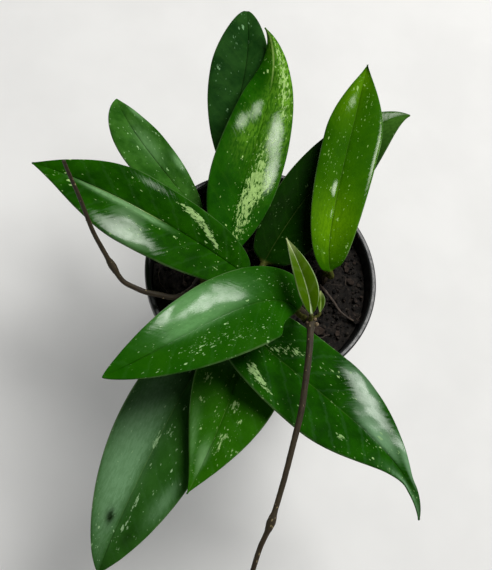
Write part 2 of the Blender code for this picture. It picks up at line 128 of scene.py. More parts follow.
@dataclass
class Leaf:
    """A leaf's form, as in the part, and its looks.

    Marks are blots on the blade: (share along, share across, reach along, reach across, strength).
    The tint-and-sheen blots are partly the leaf's own paler green and partly a painted sheen, and the
    gloss blots also paint a paler sheen into the colour.
    """

    stem: str
    node: int
    midrib: tuple
    width: float
    widest: float = 0.5
    tip_power: float = 0.85
    base_power: float = 0.8
    fold: float = 15.0
    bank: float = 0.0
    lean: float = 0.0
    tuck: float = 0.0
    ripple: float = 0.0
    ripple_turns: float = 1.5
    drip: float = 0.0
    petiole: float = PETIOLE_RADIUS
    thickness: float = BLADE_THICKNESS
    colour: tuple = rgb(26, 82, 0)
    deep: tuple = rgb(19, 66, 0)
    tint_and_sheen_colour: tuple = rgb(78, 120, 44)
    fleck_colour: tuple = rgb(150, 186, 116)
    flecks: float = 0.3
    rib: float = 0.1
    rib_span: tuple = (0.0, 1.0)
    rib_colour: tuple = rgb(150, 178, 96)
    margin: float = 0.12
    margin_from: float = 0.95
    smooth_tint_and_sheen: float = 0.7
    gloss: tuple = ()
    splash: tuple = ()
    tint_and_sheen: tuple = ()
    dark: tuple = ()


STEMS = {
    "stem_front": Stem(
        route=((8.5, -2, 60), (9, -4.5, 72), (9.5, -7, 84), (10, -14, 95), (11.5, -23, 105.5),
               (13.5, -30, 113), (14.2, -34.5, 116.8), (13.8, -41, 118), (13, -50, 117.5),
               (11.8, -60, 115.5), (10.5, -70, 113), (8, -81, 110), (4.5, -95.5, 106),
               (0.5, -109.5, 101.5), (-3, -118, 97), (-5, -125.5, 92), (-6.5, -132.5, 86),
               (-7.5, -139, 78)),
        radius=(1.6, 0.9),
        nodes=((14.2, -34.5, 116.8), (0.5, -109.5, 101.5)),
        swell=0.7),
    "stem_left": Stem(
        route=((-21.5, 6.5, 60), (-23, 3.5, 72), (-24.5, 0.5, 84), (-27.5, -8, 92.5),
               (-32, -14.5, 95.5), (-37.5, -17.5, 95.5), (-43.5, -17, 96), (-49.5, -16.5, 97),
               (-54, -15.5, 98.5), (-59, -14, 101), (-63.5, -9.5, 105), (-66.5, -6.5, 109),
               (-72, -0.5, 117), (-77.5, 7, 129), (-82, 11.5, 140), (-84, 13, 146.5)),
        radius=(1.5, 0.7),
        nodes=((-27.5, -8, 92.5), (-63.5, -9.5, 105)),
        swell=0.6),
    "stem_centre": Stem(
        route=((-3.5, 0, 60), (-5, -3, 72), (-6.5, -6, 84), (-7.5, -9, 89), (-6, -11.5, 97),
               (0, -19, 106), (2.5, -21.5, 110)),
        radius=(2.0, 1.3),
        nodes=((-7.5, -9, 89), (-6, -11.5, 97), (0, -19, 106)),
        swell=0.5),
    "stem_back": Stem(
        route=((-14, 11.5, 60), (-14.5, 12, 72), (-15, 12.5, 84), (-15, 13.5, 88), (-15.5, 13, 93),
               (-15.5, 12.5, 96.5)),
        radius=(1.8, 1.2),
        nodes=((-15, 13.5, 88), (-15.5, 13, 93)),
        swell=0.4),
    "stem_right": Stem(
        route=((26.5, -1, 60), (27, -0.5, 72), (27.5, 0, 84), (27.5, 2, 86), (28, 5, 87.5)),
        radius=(1.7, 1.3),
        nodes=((27.5, 2, 86),),
        swell=0.3),
}

LEAVES = {
    "leaf_left": Leaf(
        stem="stem_centre", node=2,
        midrib=((-9, -11.5, 106), (-29, 1.5, 107.5), (-61, 16.5, 112.5), (-98, 27.5, 118.5)),
        width=33, widest=0.62, tip_power=1.06, base_power=0.5, fold=13, bank=4, lean=-0.12,
        ripple=0.8,
        gloss=((0.60, -0.78, 0.12, 0.20, 1.0), (0.62, -0.35, 0.07, 0.22, 0.8),
               (0.60, 0.80, 0.09, 0.15, 0.35), (0.62, -0.05, 0.10, 0.06, 0.7)),
        colour=rgb(29, 82, 0), deep=rgb(15, 58, 0), fleck_colour=rgb(160, 196, 124),
        flecks=0.27, rib=0.75, rib_span=(0.52, 0.86), margin=0.2,
        splash=((0.45, 0.73, 0.05, 0.10, 1.2), (0.41, 0.66, 0.04, 0.10, 1.2),
                (0.37, 0.58, 0.045, 0.10, 1.2), (0.33, 0.46, 0.04, 0.10, 1.2),
                (0.29, 0.33, 0.035, 0.09, 1.1), (0.25, 0.21, 0.035, 0.08, 1.0),
                (0.20, -0.47, 0.025, 0.12, 0.8), (0.39, -0.33, 0.03, 0.12, 0.7),
                (0.67, 0.57, 0.06, 0.20, 0.45), (0.73, -0.30, 0.04, 0.15, 0.5)),
        # Painted highlight: the pale band just under the rib and the blot on the lower half.
        tint_and_sheen_colour=rgb(110, 152, 100),
        tint_and_sheen=((0.54, -0.11, 0.06, 0.07, 0.8), (0.64, -0.10, 0.09, 0.08, 1.0),
              (0.76, -0.09, 0.08, 0.08, 0.9), (0.58, -0.75, 0.07, 0.2, 0.5))),
    "leaf_upper_left": Leaf(
        stem="stem_back", node=1,
        midrib=((-26.5, 19.5, 94), (-38.5, 33.5, 96.5), (-55.5, 56.5, 96.5), (-66, 77, 95.5)),
        width=24, widest=0.56, tip_power=0.91, base_power=0.9, fold=16, bank=-9, lean=-0.17,
        gloss=((0.44, 0.82, 0.05, 0.18, 0.9), (0.60, 0.15, 0.14, 0.30, 0.55),
               (0.82, 0.80, 0.07, 0.18, 0.8)),
        colour=rgb(58, 106, 34), deep=rgb(30, 74, 12), fleck_colour=rgb(150, 190, 130),
        flecks=0.55, rib=0.25, rib_span=(0.35, 0.7),
        splash=((0.90, -0.07, 0.04, 0.3, 0.6), (0.71, 0.77, 0.05, 0.15, 0.7),
                (0.63, 0.77, 0.04, 0.15, 0.6), (0.43, -0.50, 0.05, 0.2, 0.5)),
        # Painted sheen: pale blots on the middle and the edges of the blade.
        tint_and_sheen=((0.62, 0.15, 0.12, 0.35, 0.6), (0.44, 0.82, 0.06, 0.15, 0.8),
              (0.82, 0.82, 0.07, 0.15, 0.7)),
        tint_and_sheen_colour=rgb(104, 150, 92)),
    "leaf_top_back": Leaf(
        stem="stem_back", node=0,
        midrib=((-12.5, 33, 90.5), (-14.5, 63, 94.5), (-10, 90, 101), (-9.5, 123, 107)),
        width=27, widest=0.68, tip_power=0.56, base_power=1.28, fold=14.5, bank=-3, lean=-0.2,
        colour=rgb(36, 74, 26), deep=rgb(18, 52, 14), fleck_colour=rgb(110, 150, 106),
        flecks=0.18, rib=0.03,
        splash=((0.68, -0.77, 0.025, 0.14, 0.9), (0.93, -0.87, 0.02, 0.2, 0.7),
                (0.93, 0.20, 0.02, 0.2, 0.7), (0.86, -0.50, 0.025, 0.2, 0.7),
                (0.85, 0.07, 0.02, 0.2, 0.6), (0.81, -0.37, 0.03, 0.2, 0.6))),
    "leaf_top_front": Leaf(
        stem="stem_left", node=0,
        midrib=((-16.3, 1, 99), (-9.7, 38, 105), (0.8, 79, 109.5), (-2, 110.5, 112)),
        width=30.5, widest=0.35, tip_power=1.15, base_power=0.67, fold=6, bank=-8.5, tuck=-80,
        gloss=((0.36, 0.68, 0.07, 0.17, 1.0), (0.50, 0.48, 0.07, 0.24, 1.1),
               (0.50, -0.62, 0.045, 0.20, 0.6), (0.57, -0.30, 0.045, 0.20, 0.6)),
        colour=rgb(28, 84, 2), deep=rgb(15, 64, 0), tint_and_sheen_colour=rgb(92, 144, 32),
        fleck_colour=rgb(160, 196, 116), flecks=0.3, rib=0.6, rib_span=(0.7, 1.0),
        splash=((0.36, 0.36, 0.07, 0.32, 0.8), (0.28, 0.34, 0.07, 0.36, 0.85),
                (0.20, 0.30, 0.07, 0.36, 0.85), (0.11, 0.37, 0.06, 0.40, 0.8),
                (0.32, 0.70, 0.05, 0.20, 0.7), (0.46, 0.30, 0.06, 0.26, 0.75),
                (0.56, 0.60, 0.07, 0.24, 0.6), (0.66, 0.62, 0.09, 0.34, 0.75),
                (0.76, 0.50, 0.08, 0.36, 0.8), (0.87, 0.45, 0.07, 0.36, 0.85)),
        smooth_tint_and_sheen=0.25,
        tint_and_sheen=((0.84, 0.60, 0.16, 0.5, 1.0), (0.64, 0.65, 0.18, 0.35, 1.0),
              (0.40, 0.55, 0.12, 0.35, 0.5), (0.48, -0.40, 0.10, 0.3, 0.6),
              (0.56, 0.0, 0.16, 0.25, 0.5), (0.92, -0.3, 0.08, 0.5, 0.7))),
    "leaf_right_upper": Leaf(
        stem="stem_right", node=0,
        midrib=((28, -2, 96), (28, 21, 104), (36, 58.5, 110), (43.5, 91.5, 116.5)),
        width=25.5, widest=0.65, tip_power=1.3, base_power=0.51, fold=11, bank=6, lean=0.1,
        ripple=1.4, ripple_turns=1.2, petiole=1.1,
        gloss=((0.44, -0.15, 0.03, 0.10, 1.2), (0.34, -0.05, 0.025, 0.09, 0.8),
               (0.12, -0.45, 0.06, 0.12, 0.6), (0.60, 0.92, 0.14, 0.06, 0.9),
               (0.80, -0.35, 0.05, 0.2, 0.5)),
        colour=rgb(46, 96, 0), deep=rgb(36, 84, 0), tint_and_sheen_colour=rgb(96, 146, 4),
        fleck_colour=rgb(150, 190, 104), flecks=0.5, rib=0.08, margin=0.35,
        splash=((0.50, -0.60, 0.10, 0.25, 0.5), (0.64, -0.17, 0.10, 0.35, 0.45),
                (0.78, 0.45, 0.10, 0.30, 0.55), (0.19, 0.80, 0.035, 0.12, 0.8),
                (0.16, -0.70, 0.03, 0.15, 0.8)),
        tint_and_sheen=((0.28, -0.1, 0.14, 0.9, 0.9), (0.84, -0.45, 0.12, 0.5, 0.7),
              (0.95, 0.3, 0.08, 0.6, 0.5))),
    "leaf_right_back": Leaf(
        stem="stem_centre", node=0,
        midrib=((0, 2.5, 90), (16.5, 31.5, 92.5), (42, 64, 95), (68, 80, 97)),
        width=32, widest=0.41, tip_power=0.97, base_power=0.42, fold=14, lean=0.18,
        gloss=((0.88, -0.5, 0.12, 0.6, 0.5),),
        # Painted shade: this leaf's greens and flecks are made far darker to stand for the shade of
        # the leaves above it.
        colour=rgb(12, 44, 0), deep=rgb(8, 32, 0), tint_and_sheen_colour=rgb(64, 106, 34),
        fleck_colour=rgb(84, 112, 66), flecks=0.2, rib=0.08,
        splash=((0.30, -0.46, 0.05, 0.2, 0.6), (0.25, -0.67, 0.03, 0.15, 0.6)),
        tint_and_sheen=((0.95, 0.0, 0.25, 1.4, 0.9),)),
    "leaf_centre": Leaf(
        stem="stem_front", node=0,
        midrib=((9.5, -30.5, 116.5), (-8.5, -29.5, 120), (-35.5, -44.5, 120), (-65, -63, 122)),
        width=34, widest=0.44, tip_power=0.8, base_power=0.34, fold=12.5, lean=-0.08, ripple=0.5,
        petiole=1.1,
        gloss=((0.60, 0.16, 0.12, 0.24, 1.2), (0.62, 0.78, 0.12, 0.24, 1.2),
               (0.54, 0.45, 0.12, 0.30, 1.0), (0.42, 0.24, 0.08, 0.28, 0.55)),
        colour=rgb(32, 86, 2), deep=rgb(22, 76, 0), tint_and_sheen_colour=rgb(98, 152, 88),
        fleck_colour=rgb(156, 196, 132), flecks=0.55, rib=0.03, margin=0.2,
        splash=((0.07, 0.17, 0.03, 0.2, 0.7), (0.14, 0.53, 0.03, 0.15, 0.7),
                (0.28, 0.57, 0.04, 0.15, 0.6), (0.64, -0.43, 0.12, 0.25, 0.6),
                (0.48, -0.60, 0.12, 0.25, 0.5), (0.30, -0.5, 0.1, 0.3, 0.4)),
        # Painted sheen: the broad pale blots over the upper half.
        tint_and_sheen=((0.61, 0.58, 0.13, 0.46, 1.0), (0.61, 0.16, 0.10, 0.13, 0.8),
              (0.42, 0.42, 0.11, 0.36, 0.5))),
    "leaf_lower_right": Leaf(
        stem="stem_left", node=0,
        midrib=((-17, -17.5, 102), (2.5, -43.5, 102), (41, -72.5, 95.5), (61, -104.5, 90)),
        width=40, widest=0.56, tip_power=1.3, base_power=0.58, fold=10, bank=7, lean=0.02,
        ripple=0.8, drip=0.12,
        gloss=((0.69, -0.30, 0.085, 0.28, 1.2), (0.57, -0.80, 0.07, 0.20, 0.9),
               (0.81, -0.78, 0.075, 0.22, 1.2), (0.62, -0.55, 0.06, 0.2, 0.6),
               (0.85, 0.70, 0.08, 0.25, 0.6)),
        colour=rgb(25, 78, 0), deep=rgb(13, 55, 0), fleck_colour=rgb(150, 186, 120), flecks=0.32,
        rib=0.05,
        splash=((0.31, 0.67, 0.035, 0.13, 1.1), (0.345, 0.75, 0.03, 0.10, 1.0),
                (0.38, 0.80, 0.02, 0.08, 0.8), (0.31, -0.07, 0.035, 0.2, 0.9),
                (0.35, -0.33, 0.03, 0.15, 0.75), (0.39, -0.40, 0.03, 0.15, 0.7),
                (0.49, -0.50, 0.03, 0.12, 0.65), (0.55, -0.30, 0.03, 0.15, 0.6),
                (0.54, -0.03, 0.03, 0.12, 0.6), (0.61, 0.60, 0.02, 0.09, 1.05),
                (0.69, 0.30, 0.03, 0.12, 0.6)),
        # Painted sheen: pale blots near the edges towards the tip.
        tint_and_sheen_colour=rgb(124, 168, 124),
        tint_and_sheen=((0.69, -0.20, 0.06, 0.14, 0.75), (0.80, -0.82, 0.06, 0.16, 0.8),
              (0.85, 0.60, 0.08, 0.30, 0.3), (0.95, 0.2, 0.05, 0.8, 0.35))),
    "leaf_lower_left": Leaf(
        stem="stem_centre", node=0,
        midrib=((-15, -28.5, 92), (-32, -54.5, 88.8), (-51.5, -96.5, 80), (-62, -123.5, 66)),
        width=40.5, widest=0.45, tip_power=1.18, base_power=0.71, fold=15, bank=9.5, lean=-0.04,
        ripple=0.6,
        gloss=((0.62, -0.75, 0.06, 0.15, 0.6), (0.55, 0.6, 0.25, 0.4, 0.7)),
        colour=rgb(46, 92, 30), deep=rgb(34, 78, 18), tint_and_sheen_colour=rgb(106, 146, 104),
        fleck_colour=rgb(150, 186, 136), flecks=0.4, rib=0.1, margin=0.2,
        splash=((0.43, 0.27, 0.02, 0.07, 0.9), (0.51, 0.0, 0.03, 0.08, 1.0),
                (0.46, -0.15, 0.025, 0.08, 0.8), (0.67, -0.20, 0.04, 0.07, 1.15),
                (0.75, -0.23, 0.04, 0.07, 1.15), (0.57, -0.10, 0.03, 0.06, 0.8),
                (0.48, 0.05, 0.03, 0.05, 0.8)),
        # Painted sheen: the broad pale blots over one half of the blade.
        tint_and_sheen=((0.60, 0.55, 0.26, 0.42, 1.0), (0.58, 0.25, 0.2, 0.2, 0.5),
              (0.66, -0.75, 0.06, 0.2, 0.5)),
        dark=((0.74, 0.37, 0.025, 0.14, 1.2), (0.78, -0.50, 0.04, 0.25, 0.5))),
    "leaf_lower_middle": Leaf(
        stem="stem_centre", node=1,
        midrib=((-2.7, -28, 96.2), (-9.2, -45, 94.7), (-18.7, -71.5, 93.2), (-30.2, -97, 89.2)),
        width=36.5, widest=0.42, tip_power=1.2, base_power=0.35, fold=13.5, bank=-1, lean=-0.05,
        gloss=((0.83, 0.20, 0.07, 0.35, 1.0), (0.34, 0.45, 0.07, 0.30, 0.7)),
        colour=rgb(44, 100, 10), deep=rgb(34, 86, 2), tint_and_sheen_colour=rgb(106, 150, 92),
        fleck_colour=rgb(156, 192, 122), flecks=0.7, rib=0.15, rib_span=(0.55, 1.0), margin=0.2,
        splash=((0.47, 0.68, 0.035, 0.15, 1.1), (0.58, 0.70, 0.025, 0.12, 0.9),
                (0.44, 0.20, 0.03, 0.15, 0.7), (0.55, -0.17, 0.04, 0.15, 0.9),
                (0.62, -0.45, 0.03, 0.12, 0.8), (0.69, 0.57, 0.025, 0.12, 0.9),
                (0.63, 0.20, 0.03, 0.12, 0.7), (0.71, -0.27, 0.04, 0.18, 1.05),
                (0.77, -0.30, 0.03, 0.20, 0.8)),
        tint_and_sheen=((0.74, 0.80, 0.12, 0.16, 0.5), (0.82, 0.15, 0.07, 0.22, 0.9))),
    "young_leaf_front": Leaf(
        stem="stem_front", node=0,
        midrib=((13.7, -33, 121.5), (11, -24.5, 127), (6.8, -15.5, 131), (2, -7, 134)),
        width=9.5, widest=0.36, tip_power=1.0, base_power=0.7, fold=24, petiole=0.8,
        gloss=((0.5, 0.0, 0.6, 1.2, 0.08),),
        thickness=0.9, colour=rgb(68, 100, 6), deep=rgb(56, 90, 2),
        tint_and_sheen_colour=rgb(190, 196, 140), fleck_colour=rgb(170, 190, 110), flecks=0.0, rib=1.0,
        rib_colour=rgb(206, 222, 176), margin=1.0, margin_from=0.88,
        tint_and_sheen=((1.0, 0.0, 0.16, 1.0, 0.9),)),
    "young_leaf_back": Leaf(
        stem="stem_front", node=0,
        midrib=((17.6, -31, 119.6), (17.7, -28.3, 120.7), (17.6, -25.7, 121.8),
                (17.3, -23.3, 122.8)),
        width=3.6, widest=0.5, tip_power=0.9, base_power=0.8, fold=20, petiole=0.6,
        thickness=0.9, colour=rgb(72, 105, 12), deep=rgb(60, 90, 10),
        tint_and_sheen_colour=rgb(200, 200, 150), flecks=0.0, rib=0.8, margin=1.0, margin_from=0.7,
        tint_and_sheen=((1.0, 0.0, 0.2, 1.0, 0.9),)),
}

ROOT_ROUTE = ((23.5, 0.5), (24.9, -2.3), (27.5, -5.5), (31, -10), (34, -14), (37.5, -17),
              (40, -18.5))
ROOT_RADIUS = 0.7


def smoothstep(value):
    value = min(max(value, 0.0), 1.0)
    return value * value * (3.0 - 2.0 * value)


def wave(x, y, z=0.0):
    """Smooth noise from about -1 to 1."""
    return noise.noise(Vector((x, y, z)))


# Materials

class Value:
    """What a node gives: a number, colour or vector, with the usual arithmetic."""

    def __init__(self, graph, socket):
        self.graph, self.socket = graph, socket

    def join(self, operation, other):
        numbers = self.socket.type == "VALUE"
        return (self.graph.math if numbers else self.graph.vector)(operation, self, other)

    def __add__(self, other):
        return self.join("ADD", other)

    def __sub__(self, other):
        return self.join("SUBTRACT", other)

    def __mul__(self, other):
        return self.join("MULTIPLY", other)


class Graph:
    """Builds one material's nodes, one call for each step."""

    def __init__(self, name):
        self.material = bpy.data.materials.new(name)
        self.material.use_nodes = True
        self.tree = self.material.node_tree
        self.shader = self.tree.nodes["Principled BSDF"]

    def set(self, **values):
        """Values or links for the shader's sockets, named with _ for a space."""
        for key, value in values.items():
            self.feed(self.shader.inputs[key.replace("_", " ")], value)

    def add(self, kind, **settings):
        node = self.tree.nodes.new("ShaderNode" + kind)
        for key, value in settings.items():
            setattr(node, key, value)
        return node

    def feed(self, socket, value):
        if isinstance(value, Value):
            value = value.socket
        if isinstance(value, bpy.types.NodeSocket):
            self.tree.links.new(value, socket)
        elif isinstance(value, tuple) and len(value) == 3 and socket.type == "RGBA":
            socket.default_value = (*value, 1.0)
        else:
            socket.default_value = value

    def math(self, operation, a, b=0.0, clamp=False):
        node = self.add("Math", operation=operation, use_clamp=clamp)
        self.feed(node.inputs[0], a)
        self.feed(node.inputs[1], b)
        return Value(self, node.outputs[0])

    def mix(self, share, a, b):
        node = self.add("Mix", data_type="RGBA", clamp_factor=True)
        self.feed(node.inputs[0], share)
        self.feed(node.inputs[6], a)
        self.feed(node.inputs[7], b)
        return Value(self, node.outputs[2])

    def level(self, value, low, high, start=0.0, end=1.0):
        """Smooth step from start at low to end at high."""
        node = self.add("MapRange", interpolation_type="SMOOTHSTEP")
        for socket, number in zip(node.inputs, (value, low, high, start, end)):
            self.feed(socket, number)
        return Value(self, node.outputs[0])

    def noise(self, place, scale, detail=2.0, roughness=0.5, output=0):
        node = self.add("TexNoise")
        self.feed(node.inputs["Vector"], place)
        self.feed(node.inputs["Scale"], scale)
        self.feed(node.inputs["Detail"], detail)
        self.feed(node.inputs["Roughness"], roughness)
        return Value(self, node.outputs[output])

    def cells(self, place, scale):
        """Distance from the nearest cell's middle, and two random numbers of that cell."""
        node = self.add("TexVoronoi")
        self.feed(node.inputs["Vector"], place)
        self.feed(node.inputs["Scale"], scale)
        split = self.add("SeparateColor")
        self.feed(split.inputs[0], node.outputs["Color"])
        sockets = (node.outputs["Distance"], *split.outputs[:2])
        return [Value(self, socket) for socket in sockets]

    def attribute(self, name):
        """The vector of a mesh attribute, and its three parts."""
        node = self.add("Attribute", attribute_name=name)
        split = self.add("SeparateXYZ")
        self.feed(split.inputs[0], node.outputs["Vector"])
        return [Value(self, socket) for socket in (node.outputs["Vector"], *split.outputs)]

    def vector(self, operation, a, b):
        node = self.add("VectorMath", operation=operation)
        self.feed(node.inputs[0], a)
        self.feed(node.inputs[1], b)
        return Value(self, node.outputs[0])

    def object_place(self):
        """Place in the object's own metres, turned into millimetres."""
        node = self.add("TexCoord")
        return self.vector("MULTIPLY", node.outputs["Object"], (1000.0, 1000.0, 1000.0))

    def bump(self, height, distance, strength):
        """Height is from 0 to 1, and distance is what 1 stands for in metres."""
        node = self.add("Bump")
        self.feed(node.inputs["Height"], height)
        self.feed(node.inputs["Distance"], distance)
        self.feed(node.inputs["Strength"], strength)
        return Value(self, node.outputs[0])


def fleck_mask(graph, place, density, size, seed):
    """Scattered irregular spots in cells of size mm; density is the share of cells with one."""
    offset = place + (seed, seed * 0.7, seed * 1.3)
    shift = graph.noise(offset, 1.4 / size, 3.0, output="Color") * (size, size, size)
    distance, pick, extent = graph.cells(offset + shift, 1.0 / size)
    spot = graph.level(extent * extent * 0.26 + 0.12 - distance, -0.03, 0.05)
    return spot * graph.math("GREATER_THAN", pick + density, 1.0)


class LeafGraph(Graph):
    """A leaf's material, with what its blade tells at each place."""

    def __init__(self, name, leaf):
        super().__init__(name)
        self.leaf = leaf
        self.place, across, along, self.side = self.attribute("leaf_mm")
        _, self.share_across, self.share_along, self.stalk = self.attribute("leaf_share")
        _, self.splash, self.tint_and_sheen, self.dark = self.attribute("leaf_marks")
        self.cloud = self.noise(self.place, 0.07, 3.0, 0.6)
        self.grain = self.noise(self.place, 0.45, 4.0, 0.6)
        self.tone = self.cloud * 0.75 + self.grain * 0.25
        self.width = self.math("ABSOLUTE", across)
        self.slant = along - self.width * SIDE_VEIN_SLANT
        turn = (self.slant + self.grain * 5.0) * (math.tau / SIDE_VEIN_SPACING)
        self.veins = self.level(self.math("SINE", turn), 0.75, 1.0)
        self.marks = self.pale_marks()

    def pale_marks(self):
        """Pale flecks of three sizes in loose groups, and finely mottled splashes."""
        groups = self.level(self.cloud, 0.38, 0.64, 0.25, 1.0)
        density = self.math("ADD", groups * self.leaf.flecks, self.splash * 0.6, clamp=True)
        stretched = self.place * (1.0, 0.55, 1.0)
        large = fleck_mask(self, stretched, density * 0.32, 1.55, 3.1)
        small = fleck_mask(self, stretched, density * 0.5, 0.7, 17.0)
        dust = self.noise(stretched, 1.9, 3.0, 0.6) + density * 0.11
        mottle = self.noise(self.place * (1.0, 0.36, 1.0), 1.0, 5.0, 0.7) + self.splash * 0.26
        marks = self.math("MAXIMUM", large, small * 0.7)
        marks = self.math("MAXIMUM", marks, self.level(dust, 0.725, 0.775) * 0.5)
        return self.math("MAXIMUM", marks, self.level(mottle, 0.735, 0.775))

    def ground(self):
        """Green in two tones, with the paler tint and painted sheen of the blots, faint side veins
        and pale marks.
        """
        leaf = self.leaf
        colour = self.mix(self.level(self.tone, 0.36, 0.66), leaf.deep, leaf.colour)
        mottle = self.noise(self.place * (1.0, 0.3, 1.0), 1.1, 4.0, 0.65)
        # Paler blots: partly the leaf's own tint, partly painted sheen.
        tint_and_sheen = self.tint_and_sheen * self.level(mottle, 0.42, 0.58, leaf.smooth_tint_and_sheen, 1.0)
        colour = self.mix(tint_and_sheen, colour, leaf.tint_and_sheen_colour)
        colour = self.mix(self.veins * 0.03, colour, leaf.tint_and_sheen_colour)
        pale = self.marks * self.level(self.grain, 0.3, 0.6, 0.6, 1.0)
        return self.mix(pale, colour, leaf.fleck_colour)

    def rib_and_edge(self, colour):
        """Pale rib over its span, pale margin that is partly a painted highlight along the edge, and
        dark scars.
        """
        leaf, share = self.leaf, self.share_along
        rib_width = self.math("SUBTRACT", 1.0, share * 0.6)
        rib = self.level(self.math("DIVIDE", self.width, rib_width), 0.2, 0.7, 1.0, 0.0)
        low, high = leaf.rib_span
        span = self.level(share, low - 0.06, low + 0.06)
        span = span * self.level(share, high - 0.06, high + 0.06, 1.0, 0.0)
        rib = rib * self.level(self.grain, 0.3, 0.6, 0.4 * leaf.rib, leaf.rib)
        colour = self.mix(rib * span, colour, leaf.rib_colour)
        # Pale margin: partly the leaf's own pale rim, partly a painted highlight where the thick edge
        # catches light.
        edge = self.level(self.math("ABSOLUTE", self.share_across), leaf.margin_from, 1.0)
        edge = edge * self.level(self.cloud, 0.4, 0.65, 0.2, 1.0) * leaf.margin
        colour = self.mix(edge, colour, rgb(180, 204, 150))
        return self.mix(self.dark * self.level(self.grain, 0.25, 0.5), colour, rgb(12, 30, 6))

    def underside(self, colour):
        """Dull paler green under the blade, and olive bark on the stalk."""
        back = self.mix(self.level(self.tone, 0.3, 0.7), rgb(52, 88, 36), rgb(72, 108, 50))
        colour = self.mix(self.level(self.side, 0.2, -0.2), colour, back)
        bark = self.mix(self.level(self.grain, 0.35, 0.65), rgb(50, 56, 22), rgb(84, 84, 38))
        return self.mix(self.stalk, colour, bark)

    def shine(self):
        """The painted gloss of the upper side, broken up along the side veins."""
        painted = self.attribute("leaf_gloss")[1]
        gloss = self.math("MULTIPLY", painted, self.level(self.side, -0.2, 0.2), clamp=True)
        lines = self.add("CombineXYZ")
        self.feed(lines.inputs[0], self.width * 0.22)
        self.feed(lines.inputs[1], self.slant)
        broken = gloss + (self.noise(lines.outputs[0], 0.8, 4.0, 0.6) - 0.5)
        return gloss * self.level(broken, 0.12, 0.5)

    def relief(self):
        """Height from 0 to 1 of fine grain, slow waves, side veins and marks."""
        relief = self.noise(self.place, 2.2, 3.0, 0.6) * 0.2 + self.noise(self.place, 0.28)
        relief = relief + self.noise(self.place, 0.8) * 0.3
        return relief + self.veins * -0.05 + self.marks * 0.06


def leaf_material(name, leaf):
    """Waxy leaf: pale rib and edge, silver flecks, cream splashes, painted sheen, dull pale
    underside.
    """
    graph = LeafGraph(name, leaf)
    colour = graph.underside(graph.rib_and_edge(graph.ground()))
    gloss = graph.shine()
    # Painted sheen: the colour turns paler where the gloss blots lie.
    colour = graph.mix(gloss * 0.5, colour, leaf.tint_and_sheen_colour)
    rough = graph.level(graph.grain, 0.3, 0.7, 0.46, 0.56) - gloss * 0.2
    coat = gloss * graph.level(graph.grain, 0.25, 0.6, 0.6, 0.95)
    coat = coat * graph.level(graph.marks, 0.0, 1.0, 1.0, 0.7)
    graph.set(Base_Color=colour, Roughness=rough, Specular_IOR_Level=0.008, Coat_Weight=coat,
              Coat_Roughness=0.15, Normal=graph.bump(graph.relief(), 0.0003, 0.7))
    return graph.material


def stem_material():
    """Brown vine with fine streaks along it, pale specks and greener young ends."""
    graph = Graph("hoya_stem")
    place, _, _, _ = graph.attribute("tube_mm")
    _, age, knot, _ = graph.attribute("tube_share")
    streaks = graph.noise(place * (1.0, 1.0, 0.16), 1.6, 4.0, 0.65)
    cloud = graph.noise(place, 0.25, 3.0)
    colour = graph.mix(graph.level(streaks, 0.3, 0.7), rgb(28, 22, 15), rgb(62, 52, 36))
    colour = graph.mix(graph.level(cloud, 0.45, 0.7, 0.0, 0.5), colour, rgb(48, 46, 24))
    colour = graph.mix(age * 0.4, colour, rgb(58, 48, 30))
    density = graph.math("ADD", 0.1, knot * 0.4, clamp=True)
    specks = fleck_mask(graph, place * (1.0, 1.0, 0.6), density, 0.9, 5.0)
    colour = graph.mix(specks * 0.65, colour, rgb(160, 145, 106))
    relief = streaks + specks * 0.5
    graph.set(Base_Color=colour, Roughness=graph.level(streaks, 0.2, 0.8, 0.5, 0.72),
              Specular_IOR_Level=0.25, Normal=graph.bump(relief, 0.00022, 0.9))
    return graph.material


def root_material():
    """Dry grey brown root."""
    graph = Graph("hoya_root")
    place, _, _, _ = graph.attribute("tube_mm")
    streaks = graph.noise(place * (1.0, 1.0, 0.2), 2.2, 4.0, 0.6)
    colour = graph.mix(graph.level(streaks, 0.3, 0.7), rgb(34, 28, 24), rgb(88, 74, 62))
    graph.set(Base_Color=colour, Roughness=0.8, Normal=graph.bump(streaks, 0.0002, 0.9))
    return graph.material


def soil_material(name, dark, light, tint):
    """Moist crumbly soil, each crumb with a tone of its own."""
    graph = Graph(name)
    place = graph.object_place()
    _, pick, _, _ = graph.attribute("crumb")
    fine = graph.noise(place, 1.1, 5.0, 0.7)
    _, cell, _ = graph.cells(place, 0.9)
    tone = fine * 0.5 + pick * 0.5
    colour = graph.mix(graph.level(tone, 0.36, 0.68), dark, light)
    colour = graph.mix(graph.level(cell, 0.72, 0.98, 0.0, 0.55), colour, tint)
    specks = fleck_mask(graph, place, 0.05, 0.8, 6.0)
    colour = graph.mix(specks * 0.5, colour, rgb(128, 122, 108))
    relief = graph.noise(place, 1.7, 5.0, 0.75)
    graph.set(Base_Color=colour, Roughness=graph.level(fine, 0.3, 0.7, 0.6, 0.95),
              Specular_IOR_Level=0.25, Normal=graph.bump(relief, 0.0009, 1.0))
    return graph.material


